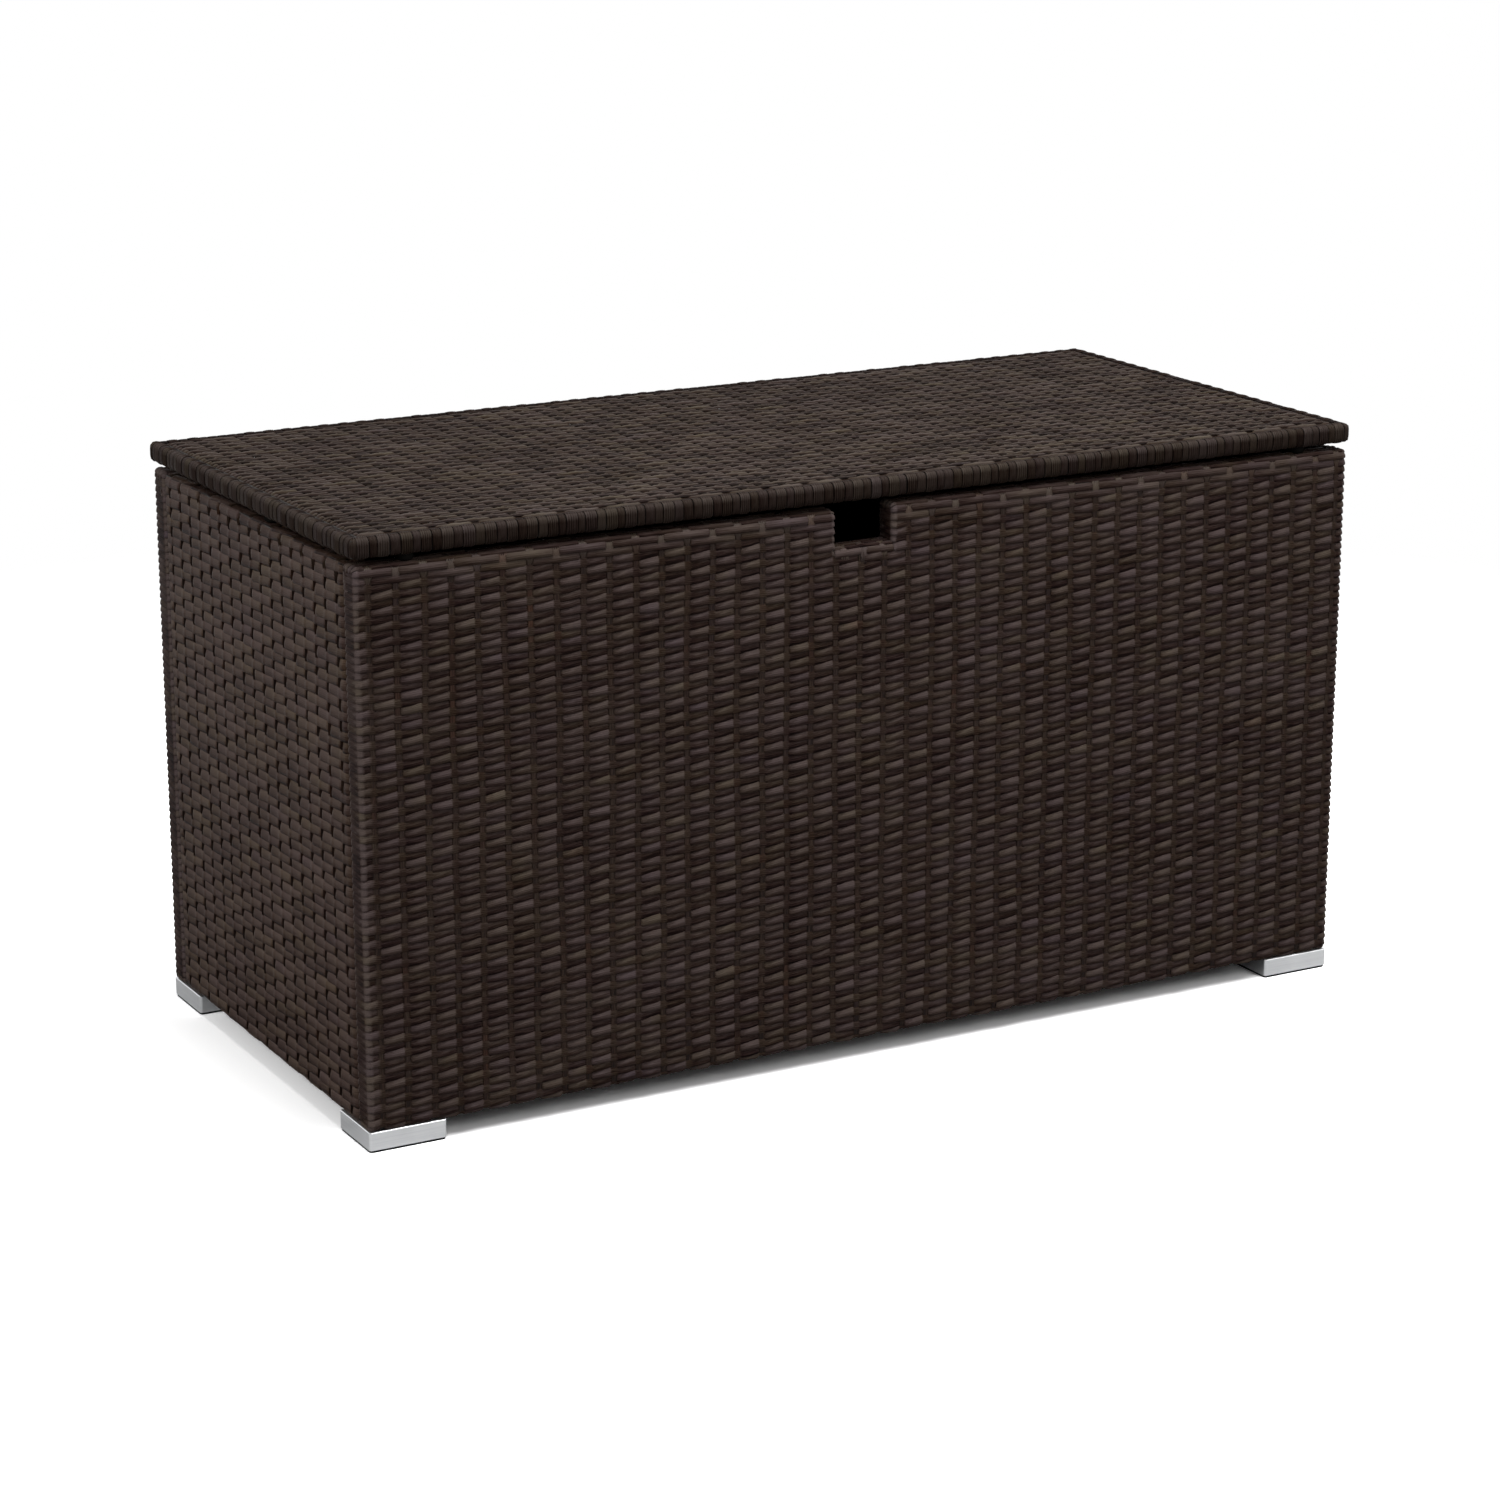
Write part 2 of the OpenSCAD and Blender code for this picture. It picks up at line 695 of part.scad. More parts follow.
// Rod with its piston.
module stay_rod_left() {
    color(satin_metal) at_stay() {
        translate([0, 0, piston_start]) cylinder(r = cylinder_r - cylinder_wall - 0.1, h = piston_h);
        translate([0, 0, piston_start]) cylinder(r = rod_r, h = stay_len - eye_r + 1 - piston_start);
    }
}

module stay_rod_right() { mirror([1, 0, 0]) stay_rod_left(); }

// Eye on the end of the rod, with the stud that reaches the lid's ear.
module stay_end_left() {
    color(black) at_stay() translate([0, 0, stay_len]) difference() {
        union() {
            along_x(-eye_w / 2, eye_r, eye_w);
            translate([0, 0, -eye_r - 6]) cylinder(r = 5.5, h = 7.5);
            along_x(ear_x + bracket_t + 0.4, stud_r, -ear_x - bracket_t);
            along_x(0, stud_r + 1, eye_w / 2 + 1.5);
        }
        translate([0, 0, -stay_len]) cylinder(r = rod_r, h = stay_len - eye_r + 1);
    }
}

module stay_end_right() { mirror([1, 0, 0]) stay_end_left(); }

// ---------------------------------------------------------------- nodes

front_frame();
back_frame();
left_frame();
right_frame();
floor_frame();
front_weave();
back_weave();
left_weave();
right_weave();
floor_weave();
wall_bolts();
rivet_nuts();
foot_front_left();
foot_front_right();
foot_back_left();
foot_back_right();
pad_front_left();
pad_front_right();
pad_back_left();
pad_back_right();
foot_screws();
hinge_base_left();
hinge_base_middle();
hinge_base_right();
hinge_base_screws();
hinge_pin_left();
hinge_pin_middle();
hinge_pin_right();
stay_base_left();
stay_base_right();
stay_base_screws();
lid_frame();
lid_weave();
lid_binding();
hinge_lid_left();
hinge_lid_middle();
hinge_lid_right();
hinge_lid_screws();
bumper_front_left();
bumper_front_right();
bumper_side_left();
bumper_side_right();
stay_lid_left();
stay_lid_right();
stay_lid_screws();
stay_cylinder_left();
stay_cylinder_right();
stay_guide_left();
stay_guide_right();
stay_rod_left();
stay_rod_right();
stay_end_left();
stay_end_right();
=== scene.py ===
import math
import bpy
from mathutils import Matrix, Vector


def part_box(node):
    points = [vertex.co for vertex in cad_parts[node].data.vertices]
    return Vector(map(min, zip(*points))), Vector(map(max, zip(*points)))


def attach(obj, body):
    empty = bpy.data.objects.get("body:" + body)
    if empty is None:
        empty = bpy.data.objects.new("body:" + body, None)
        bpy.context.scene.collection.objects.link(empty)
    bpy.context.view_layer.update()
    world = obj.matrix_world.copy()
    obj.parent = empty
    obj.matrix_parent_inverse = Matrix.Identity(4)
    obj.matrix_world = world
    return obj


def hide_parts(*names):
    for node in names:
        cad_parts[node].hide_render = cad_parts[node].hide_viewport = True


bl_info = {
    "name": "Woven Storage Chest",
    "version": (1, 0, 0),
    "blender": (4, 5, 0),
    "location": "3D View > Sidebar > Chest",
    "description": "Weaves, binds and finishes a low storage chest round its packed frame",
    "category": "Object",
}

from functools import partialmethod
from types import SimpleNamespace

import bpy
import numpy as np
from bpy.props import FloatProperty, FloatVectorProperty, PointerProperty
from mathutils import Matrix, Vector

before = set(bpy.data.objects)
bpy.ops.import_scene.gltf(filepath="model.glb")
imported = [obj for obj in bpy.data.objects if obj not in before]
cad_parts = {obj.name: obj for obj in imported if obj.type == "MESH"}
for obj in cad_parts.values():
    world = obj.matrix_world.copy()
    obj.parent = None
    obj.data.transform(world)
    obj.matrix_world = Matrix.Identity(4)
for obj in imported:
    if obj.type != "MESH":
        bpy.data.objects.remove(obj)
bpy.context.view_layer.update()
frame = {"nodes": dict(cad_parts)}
MM = 0.001
QUARTER_TURN = math.pi / 2

# The finger notch in the front wall
NOTCH_LEFT = -58 * MM
NOTCH_RIGHT = 10 * MM
NOTCH_DEPTH = 40 * MM

# A woven wall: its thickness, the radius of its rolled edges and how deep its strips lie under its face
WALL_DEPTH = 30 * MM
WALL_RADIUS = 6 * MM
WALL_SKIN = 1 * MM

# Corners in one ring of a strip and how many lie on its outer side, and steps round a corner of the lid
ROW_RING = (7, 5)
STAKE_RING = (12, 9)
BOUND_RING = (14, 11)
CORNER_STEPS = 8

# Seeds of the woven panels
FRONT_SEED = 3.0
BACK_SEED = 41.0
END_SEEDS = {"left": 77.0, "right": 91.0}
FLOOR_SEED = 131.0
LID_SEED = 17.0
EDGE_SEED = 5.0

# How deep the floor and the lid are woven, and how far they fold back inside
FLOOR_BAND = 25 * MM
LID_INSET = 1 * MM
LID_DEPTH = 20 * MM
LID_BAND = 30 * MM

# The sill of the notch
SILL_ROWS = 5
SILL_STAKES = 3
SILL_STAKE_PITCH = 23 * MM
SILL_STAKE_INSET = 10 * MM
SILL_STAKE_TAIL = 10 * MM
SILL_ROW_OVERLAP = 4 * MM
SILL_OVERLAP_LEFT = 5 * MM
SILL_OVERLAP_RIGHT = 6 * MM

# How far the front wall's full rows, and its stakes, keep from the notch
ROW_GAP_BELOW = 3 * MM
STAKE_GAP_LEFT = 4 * MM
STAKE_GAP_RIGHT = 1 * MM
STAKE_GAP_BELOW = 6 * MM

# Stakes of the back, the ends and the lid, and how far the end walls' strips slant
BACK_STAKE_WIDTH = 7.5 * MM
END_STAKE_WIDTH = 5 * MM
LID_STAKE_WIDTH = 6.8 * MM
END_STAKE_OFFSET = 0.6
END_SLANT = 1.6 * MM

# Metres along and up a panel over which stakes drift, rows sway and the tone changes
DRIFT_PATCH = (0.085, 0.16)
SWAY_PATCH = (0.07, 0.03)
TONE_PATCH = (0.2, 0.1)

# Steps of a strip round each arc, along each flat run between arcs, and on its tail
ARC_STEPS = 4.0
FLAT_STEPS = 2.0
TAIL_STEPS = 3.0


def box_of(node):
    """Lowest corner and size of one CAD node."""
    low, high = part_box(node)
    return low, high - low


# ------------------------------------------------------------------ settings


def length(name, description, millimetres):
    """A setting that is a length."""
    return FloatProperty(name=name, description=description, default=millimetres * MM, unit="LENGTH")


def colour(name, description, *default):
    """A setting that is a colour."""
    return FloatVectorProperty(name=name, description=description, subtype="COLOR", size=3, default=default)


def angle(name, description, degrees):
    """A setting that is an angle."""
    return FloatProperty(name=name, description=description, subtype="ANGLE", default=math.radians(degrees))


def power(name, description, watts):
    """A setting that is the power of a lamp."""
    return FloatProperty(name=name, description=description, default=watts, unit="POWER")


def label(key):
    """The name that a setting or an input shows."""
    return key.replace("_", " ").title()


WEAVE_SIZES = {
    "row_pitch": "Width of one woven row",
    "stake_pitch": "Distance between stakes",
    "strip_width": "Width of a strip where it crosses a stake",
    "squeezed_width": "Width of a strip between two stakes",
    "crown": "How far a strip arches between two stakes",
    "over": "How far a strip rises over a stake",
    "under": "How far a strip dips under a stake",
}


def weave_sizes(*defaults):
    """The settings that every weave has, with their defaults in millimetres."""
    return {key: length(label(key), words, size) for (key, words), size in zip(WEAVE_SIZES.items(), defaults)}


class WallWeaveSettings(bpy.types.PropertyGroup):
    """The weave of the front and back walls."""

    __annotations__ = weave_sizes(7.95, 29.3, 8.7, 9.2, 1.7, 0.45, 0.75)


class SideWeaveSettings(bpy.types.PropertyGroup):
    """The weave of the two end walls and the floor."""

    __annotations__ = weave_sizes(10.75, 28.5, 11.8, 11.3, 0.9, 0.3, 0.8)


class LidWeaveSettings(bpy.types.PropertyGroup):
    """The weave of the lid and the binding of its edge."""

    __annotations__ = {
        **weave_sizes(8.5, 23.5, 9.6, 9.1, 1.2, 0.55, 0.7),
        "bound_width": length("Binding pitch", "Average width of the strips bound over the edge", 11.2),
    }


class FinishSettings(bpy.types.PropertyGroup):
    """Colours of the strips and fittings."""

    strip: colour("Strip", "Colour of the strip of the front, the back and the floor", 0.0425, 0.0290, 0.0255)
    end_strip: colour("End strip", "Colour of the wide strip of the end walls", 0.040, 0.0245, 0.0190)
    lid_strip: colour("Lid strip", "Colour of the strip woven into the lid", 0.0345, 0.0250, 0.0200)
    edge_strip: colour("Edge strip", "Colour of the strip bound round the lid", 0.0250, 0.0178, 0.0155)
    frame: colour("Frame", "Colour of the frame tubes", 0.012, 0.011, 0.010)
    foot: colour("Foot", "Colour of the metal feet", 0.80, 0.81, 0.82)


class StageSettings(bpy.types.PropertyGroup):
    """Camera and lamps."""

    lens: FloatProperty(name="Lens", description="Focal length", default=93.24, unit="CAMERA")
    camera: FloatVectorProperty(
        name="Camera", description="Where the camera stands",
        subtype="TRANSLATION", size=3, default=(-2.0388, -3.6794, 1.476),
    )
    yaw: angle("Yaw", "How far the camera turns right from straight ahead", 28.89)
    pitch: angle("Pitch", "How far the camera looks down", 15.94)
    top_lamp: power("Top lamp", "Power of the lamp over the chest", 130.0)
    front_lamp: power("Front lamp", "Power of the lamp in front", 22.0)
    left_lamp: power("Left lamp", "Power of the lamp at the left", 70.0)


# ------------------------------------------------------------------ node building


class Field:
    """A socket that can be used in sums."""

    def __init__(self, net, socket):
        self.net = net
        self.socket = socket

    def __neg__(self):
        return self * -1.0


def arithmetic(operation, turned_round=False):
    """A method that joins a field and another value by a sum."""
    def method(self, other):
        pair = (other, self) if turned_round else (self, other)
        return self.net.math(operation, *pair)
    return method


for word, operation in (("add", "ADD"), ("sub", "SUBTRACT"), ("mul", "MULTIPLY"), ("truediv", "DIVIDE")):
    setattr(Field, f"__{word}__", arithmetic(operation))
    setattr(Field, f"__r{word}__", arithmetic(operation, turned_round=True))


class Net:
    """Builds one node tree from top to bottom."""

    def __init__(self, tree):
        self.tree = tree

    def node(self, kind, sockets=None, **settings):
        made = self.tree.nodes.new(kind)
        for name, value in settings.items():
            setattr(made, name, value)
        return self.fill(made, sockets or {})

    def fill(self, made, sockets):
        """Links fields to a node's inputs, and sets plain values on them."""
        for name, value in sockets.items():
            if isinstance(value, Field):
                self.tree.links.new(value.socket, made.inputs[name])
            else:
                made.inputs[name].default_value = value
        return made

    def out(self, made, name=0):
        return Field(self, made.outputs[name])

    def result(self, kind, sockets=None, output=0, **settings):
        """Makes a node and returns one of its outputs."""
        return self.out(self.node(kind, sockets, **settings), output)

    def math(self, operation, *values):
        return self.result("ShaderNodeMath", dict(enumerate(values)), operation=operation)

    sine = partialmethod(math, "SINE")
    cosine = partialmethod(math, "COSINE")
    absolute = partialmethod(math, "ABSOLUTE")
    whole = partialmethod(math, "FLOOR")
    wrap = partialmethod(math, "WRAP")
    least = partialmethod(math, "MINIMUM")
    most = partialmethod(math, "MAXIMUM")
    above = partialmethod(math, "GREATER_THAN")
    below = partialmethod(math, "LESS_THAN")

    def clamp(self, value, low=0.0, high=1.0):
        return self.result("ShaderNodeClamp", {"Value": value, "Min": low, "Max": high})

    def blend(self, a, b, factor):
        return a + (b - a) * factor

    def turned(self, past, radius):
        """Angle turned by a strip that has gone this far past the start of a rounded edge."""
        return self.clamp(past / radius, 0.0, QUARTER_TURN)

    def shoulder(self, past, radius):
        """1 in the middle of a rounded edge, and 0 at its start and end."""
        return self.sine(self.turned(past, radius) * 2.0)

    def vector(self, x, y, z):
        return self.result("ShaderNodeCombineXYZ", {0: x, 1: y, 2: z})

    def parts(self, vector):
        made = self.node("ShaderNodeSeparateXYZ", {0: vector})
        return [self.out(made, i) for i in range(3)]

    def grain(self, vector, scale, detail, roughness=0.5):
        """Cloudy noise between about 0 and 1."""
        sockets = {"Vector": vector, "Scale": scale, "Detail": detail, "Roughness": roughness}
        return self.result("ShaderNodeTexNoise", sockets)

    def noise(self, x, y, z, detail=1.0):
        """Smooth noise between about -1 and 1."""
        return (self.grain(self.vector(x, y, z), 1.0, detail) - 0.5) * 3.0

    def bump(self, height, strength, distance):
        sockets = {"Height": height, "Strength": strength, "Distance": distance}
        return self.result("ShaderNodeBump", sockets, "Normal")


SOCKET_KINDS = {int: "NodeSocketInt", float: "NodeSocketFloat", type(None): "NodeSocketMaterial"}


class GeometryNet(Net):
    """A geometry node tree with named inputs."""

    def __init__(self, name):
        super().__init__(bpy.data.node_groups.new(name, "GeometryNodeTree"))
        self.tree.interface.new_socket("Geometry", in_out="OUTPUT", socket_type="NodeSocketGeometry")
        self.given = self.tree.nodes.new("NodeGroupInput")

    def inputs(self, **defaults):
        """Adds named inputs: whole numbers are counts, and None is a material."""
        given = SimpleNamespace()
        for key, default in defaults.items():
            kind = SOCKET_KINDS[type(default)]
            socket = self.tree.interface.new_socket(label(key), in_out="INPUT", socket_type=kind)
            if default is not None:
                socket.default_value = default
            setattr(given, key, Field(self, self.given.outputs[label(key)]))
        return given

    def store(self, geometry, name, value):
        sockets = {"Geometry": geometry, "Name": name, "Value": value}
        return self.result("GeometryNodeStoreNamedAttribute", sockets, data_type="FLOAT", domain="POINT")

    def stored(self, name):
        return self.result("GeometryNodeInputNamedAttribute", {"Name": name}, data_type="FLOAT")

    def strips(self, number, ring, segments, marks=None):
        """Closed tubes, one for each strip, with their place along, ring corner and number stored."""
        corners = ring[0]
        sizes = {"Vertices": corners, "Side Segments": segments, "Radius": 1.0, "Depth": 1.0}
        tube = self.result("GeometryNodeMeshCylinder", sizes)
        x, y, z = self.parts(self.result("GeometryNodeInputPosition"))
        turn = self.math("ARCTAN2", y, x) / (2 * math.pi) * corners
        tube = self.store(tube, "ring", self.wrap(self.math("ROUND", turn), corners, 0.0))
        tube = self.store(tube, "step", self.math("ROUND", (z + 0.5) * segments))
        line = self.result("GeometryNodeMeshLine", {"Count": number, "Offset": (0.0, 0.0, 1.0)})
        line = self.store(line, "strip", self.result("GeometryNodeInputIndex"))
        for name, value in (marks or {}).items():
            line = self.store(line, name, value)
        laid = self.result("GeometryNodeInstanceOnPoints", {"Points": line, "Instance": tube})
        return self.result("GeometryNodeRealizeInstances", {"Geometry": laid})

    def section(self, ring):
        """Place across a strip from 1 to -1, and 1 on its outer side or 0 on its inner side."""
        corners, top = ring
        corner = self.stored("ring")
        outer = self.below(corner, top - 0.5)
        across_top = 1.0 - corner * (2.0 / (top - 1))
        across_back = (corner - (top - 1)) * (2.0 / (corners - top + 1)) - 1.0
        return self.blend(across_back, across_top, outer), outer

    def finish(self, geometry, position, material, tone, hue, across, along):
        """Lays the strips, marks what their finish follows and ends the tree."""
        laid = self.result("GeometryNodeSetPosition", {"Geometry": geometry, "Position": position})
        marks = {"tone": self.clamp(tone), "hue": self.clamp(hue), "across": across, "along": along}
        for name, value in marks.items():
            laid = self.store(laid, name, value)
        smooth = self.result("GeometryNodeSetShadeSmooth", {"Geometry": laid})
        real = self.result("GeometryNodeRealizeInstances", {"Geometry": smooth})
        dressed = self.result("GeometryNodeSetMaterial", {"Geometry": real, "Material": material})
        self.fill(self.tree.nodes.new("NodeGroupOutput"), {0: dressed})
        return self.tree


# ------------------------------------------------------------------ laying strips on a slab


class Roll:
    """Follows a skin from the middle of a slab round its edge and back inside."""

    def __init__(self, net, distance, half, radius, depth, band):
        quarter = radius * QUARTER_TURN
        edge = depth - radius * 2.0
        back = band - radius * 2.0
        reach = net.absolute(distance)
        self.sign = net.math("SIGN", distance)
        self.past = reach - (half - radius)
        past_edge = self.past - quarter - edge
        past_back = past_edge - quarter - back
        turns = [net.turned(past, radius) for past in (self.past, past_edge, past_back)]
        sines = [net.sine(turn) for turn in turns]
        rises = [1.0 - net.cosine(turn) for turn in turns]
        along_edge = net.clamp(self.past - quarter, 0.0, edge)
        along_back = net.clamp(past_edge - quarter, 0.0, back)
        inside = net.most(past_back - quarter, 0.0)
        flat = net.least(reach, half - radius)
        self.sideways = flat + radius * sines[0] - radius * rises[1] - along_back - radius * sines[2]
        self.inward = radius * rises[0] + along_edge + radius * sines[1] - radius * rises[2] - inside
        turn = turns[0] + turns[1] + turns[2]
        self.sine = net.sine(turn)
        self.cosine = net.cosine(turn)


class Slab:
    """The unrolled skin of a slab that faces -Y, stands on z = 0 and has rolled edges."""

    def __init__(self, net):
        self.net = net
        given = net.inputs(
            left=-0.5, right=0.5, height=0.5, depth=0.03, edge_radius=0.006, band=0.03, skin=0.001,
        )
        self.height, self.radius, self.skin = given.height, given.edge_radius, given.skin
        self.bend = self.radius - self.skin
        self.depth = given.depth - self.skin * 2.0
        self.band = given.band - self.skin * 2.0
        self.middle = (given.right + given.left) * 0.5
        self.half_u = (given.right - given.left) * 0.5 - self.skin
        self.half_v = self.height * 0.5 - self.skin

    def place(self, u, v, h):
        """The point at u along and v up the unrolled skin, h above it."""
        up = Roll(self.net, v, self.half_v, self.bend, self.depth, self.band)
        out = Roll(self.net, u - self.middle, self.half_u, self.bend, self.depth, self.band)
        sunk = out.inward - h * out.cosine
        x = self.middle + out.sign * (out.sideways + h * out.sine)
        y = self.skin + up.inward + sunk * up.cosine
        z = self.height * 0.5 + up.sign * (up.sideways - sunk * up.sine)
        return self.net.vector(x, y, z)


def stake_drift(net, u, v, seed, amount):
    """How far the stakes wander sideways near a place."""
    return net.noise(u / DRIFT_PATCH[0], v / DRIFT_PATCH[1], seed) * amount


def build_weft_tree():
    """Strips that run along a slab, over one stake and under the next."""
    net = GeometryNet("Woven Rows")
    slab = Slab(net)
    given = net.inputs(
        rows=10, first_row=0, row_start=0.0, row_pitch=0.008, stake_start=0.0, stake_pitch=0.0285,
        steps_per_stake=6.0, crowding=0.1385, second_crowding=0.0495, face_start=-0.5, face_steps=200,
        wrap_steps=16, wrap=0.07, rim_wrap=0.012, strip_width=0.0096, squeezed_width=0.0075, crown=0.0019,
        over=0.0008, under=0.0009, hold=0.09, release=0.17, floats=0.0, rim_floats=0.0, lens=0.0, bead=0.0,
        backing=2.9, drift=0.0022, row_wander=0.0008, slant=0.0006, shingle=0.6, contrast=0.4, variety=0.6,
        glint=0.0, brightness=0.0, climb=0.0, facing=0.0, hook=0.0, seed=1.0, material=None,
    )
    tubes = net.strips(given.rows, ROW_RING, given.face_steps + given.wrap_steps * 2.0)
    across, outer = net.section(ROW_RING)
    across = across - (1.0 - across * across) * given.shingle * outer * 0.42
    hidden = 1.0 - outer
    across = across * (1.0 + hidden * given.backing)
    step = net.stored("step")
    strip = net.stored("strip") + given.first_row
    parity = net.wrap(strip, 2.0, 0.0)

    # the row's height, and whether it lies on the rim
    half_u = slab.half_u - slab.bend
    half_v = slab.half_v - slab.bend
    level = given.row_start + (strip + 0.5) * given.row_pitch
    on_rim = net.above(net.absolute(level), half_v + slab.bend * 0.8)
    in_rim = given.rim_floats * net.above(level, half_v - given.row_pitch * 1.3)
    floats = net.most(given.floats, in_rim)
    lens = given.lens * (1.0 - in_rim)
    slant = given.slant * (1.0 - in_rim)

    # place along the skin: even steps on the face, then those that go round an edge
    shrink = net.blend(1.0, given.rim_wrap / given.wrap, on_rim)
    face_step = given.stake_pitch / given.steps_per_stake
    face_end = given.face_start + given.face_steps * face_step
    quarter = slab.bend * QUARTER_TURN
    edge = slab.depth - slab.bend * 2.0
    back = slab.band - slab.bend * 2.0
    rest = net.most(given.wrap - quarter * 2.0 - edge - back, 0.0)

    def wrapped(count, flat):
        """Distance that the steps past the face cover: one step to the edge, then these steps to each run."""
        distance = flat * net.clamp(count)
        done = 1.0
        for run, steps in (
            (quarter, ARC_STEPS), (edge, FLAT_STEPS), (quarter, ARC_STEPS), (back, FLAT_STEPS),
            (rest, TAIL_STEPS),
        ):
            distance = distance + run * net.clamp((count - done) / steps) * shrink
            done += steps
        return distance

    beyond_left = net.most(given.wrap_steps - step, 0.0)
    beyond_right = net.most(step - given.wrap_steps - given.face_steps, 0.0)
    on_face = given.face_start + net.clamp(step - given.wrap_steps, 0.0, given.face_steps) * face_step
    u = (
        on_face - wrapped(beyond_left, given.face_start - (slab.middle - half_u))
        + wrapped(beyond_right, slab.middle + half_u - face_end)
    )
    past = net.absolute(u - slab.middle) - half_u
    past_edge = past - quarter - edge
    bent = (net.shoulder(past, slab.bend) + net.shoulder(past_edge, slab.bend)) * given.bead
    on_edge = net.clamp(past / 0.006)
    off_edge = 1.0 - on_edge

    # steps crowd together beside each stake, and the stakes wander
    even = (u - given.stake_start) / given.stake_pitch
    first_stake = net.math("CEIL", (slab.middle - half_u - given.stake_start) / given.stake_pitch)
    last_stake = net.whole((slab.middle + half_u - given.stake_start) / given.stake_pitch)
    inner = net.clamp(even, first_stake, last_stake)
    phase = even - net.sine(inner * (2 * math.pi)) * given.crowding
    phase = phase + net.sine(inner * (4 * math.pi)) * given.second_crowding
    u = given.stake_start + phase * given.stake_pitch
    u = u + stake_drift(net, u, level, given.seed, given.drift) * off_edge

    # over, under and between the stakes; each noise adds its own number to the seed
    turn = net.wrap(phase + strip, 1.0, -1.0)
    over = net.below(net.absolute(turn), 0.5)
    near = net.absolute(phase - net.math("ROUND", phase))
    free = net.clamp((near - given.hold) / (given.release - given.hold))
    hold = (1.0 - free * free * (3.0 - free * 2.0)) * off_edge
    pinch = hold * (1.0 - over * floats)
    gap = 1.0 - pinch
    lying = net.blend(net.whole(phase), net.whole((phase + strip + 1.0) * 0.5), floats)
    along = net.blend(net.math("FRACT", phase) - 0.5, turn * 0.5, floats)
    spot = net.vector(lying, strip, given.seed)
    chance = net.node("ShaderNodeTexWhiteNoise", {"Vector": spot}, noise_dimensions="3D")
    chance_1, chance_2, chance_3 = net.parts(net.out(chance, "Color"))
    chance_4 = net.out(chance, "Value")

    # width, height and slope of each stretch
    lopsided = along - 0.08
    shape = 1.0 + (0.06 - lopsided * lopsided * 1.6) * lens * off_edge
    half_width = net.blend(given.strip_width, given.squeezed_width * shape, gap)
    half_width = half_width * (0.5 + (chance_4 - 0.5) * 0.03) * (1.0 - bent * 0.3)
    bulge = net.blend(given.crown * 0.12, given.crown, gap) * (1.0 + (chance_1 - 0.5) * 0.7 * off_edge)
    bulge = net.blend(bulge, given.crown * 0.6, on_edge)
    rising = (net.below(turn, 0.0) * 2.0 - 1.0) * gap * off_edge * (1.0 - in_rim)
    plane = hold * net.blend(-given.under, given.over, over) + rising * given.climb * (along + 0.25)
    ridge = across + given.shingle
    upper = net.most(ridge, 0.0) / (1.0 + given.shingle)
    lower = net.least(ridge, 0.0) / (1.0 - given.shingle)
    arch = 1.0 - upper * upper - lower * lower
    twist = (chance_2 - 0.5) * (1.4 * MM) * gap * off_edge
    under_side = -0.7 * MM - parity * (0.3 * MM)
    h = plane + net.blend(under_side, bulge * arch + across * twist, outer) + bent * (0.7 * MM)
    slow_sway = net.noise(u / SWAY_PATCH[0], level / SWAY_PATCH[1], given.seed + 11.0) * given.row_wander
    quick_sway = net.noise(u / 0.03, strip * 4.4, given.seed + 13.0) * given.row_wander * 0.3
    tilt = along * slant * (0.5 + chance_3) * 2.0 * gap * off_edge
    v = level + across * half_width + (slow_sway + quick_sway) + tilt

    # tone and tint of each stretch: random patches, and painted light and shade
    fine_patches = net.noise(phase * 0.9, strip * 9.1, given.seed + 21.0, 2.0) * 0.12
    wide_patches = net.noise(u / TONE_PATCH[0], level / TONE_PATCH[1], given.seed + 23.0) * 0.1
    # painted light: each stretch is lighter towards its upper edge and towards its end further along, as if
    # lit from above
    slope = (along * 0.8 + across * 1.2) * given.contrast * gap * off_edge
    # painted highlight: a lens-shaped glint on the upper middle of each stretch, brighter on stretches that
    # rise towards the next stake and kept faint on the rim
    off_middle = along - 0.04
    glint = net.clamp(1.0 - net.absolute(across - 0.25) * 1.9)
    glint = glint * net.clamp(1.0 - off_middle * off_middle * 9.0)
    glint = glint * (0.5 + chance_4 * 0.9) * (1.0 + rising * given.facing) - 0.2
    tone = fine_patches + wide_patches + (chance_4 - 0.5) * given.variety * gap
    tone = tone + glint * given.glint * gap * (1.0 - in_rim * 0.7) + slope
    # painted shade where a strip lies pressed flat over a stake; painted highlights on the beads where rows
    # turn round a rolled edge, and painted shade on the rest of that edge
    tone = tone - pinch * given.contrast + given.contrast * 0.15 + bent * 0.9 - on_edge * given.bead * 0.25
    # painted light and shade: stretches rising towards the next stake are lighter than falling ones, and the
    # hidden backing that shows in the gaps is painted dark as shade
    tone = tone + given.brightness + rising * given.facing * 0.24 - hidden * 0.55
    # painted shadow under the lower edge of each stretch, near its end further along
    tone = tone - net.clamp(along * 6.0 - 0.8) * net.clamp(-1.8 - across * 3.0) * given.hook * outer
    hue = net.noise(phase * 0.45, strip * 6.3, given.seed + 31.0, 2.0) * 0.22
    hue = hue + (chance_3 - 0.5) * 0.16 * gap + pinch * 0.1
    position = slab.place(u, v, h)
    return net.finish(tubes, position, given.material, tone + 0.5, hue + 0.5, across * half_width, u)


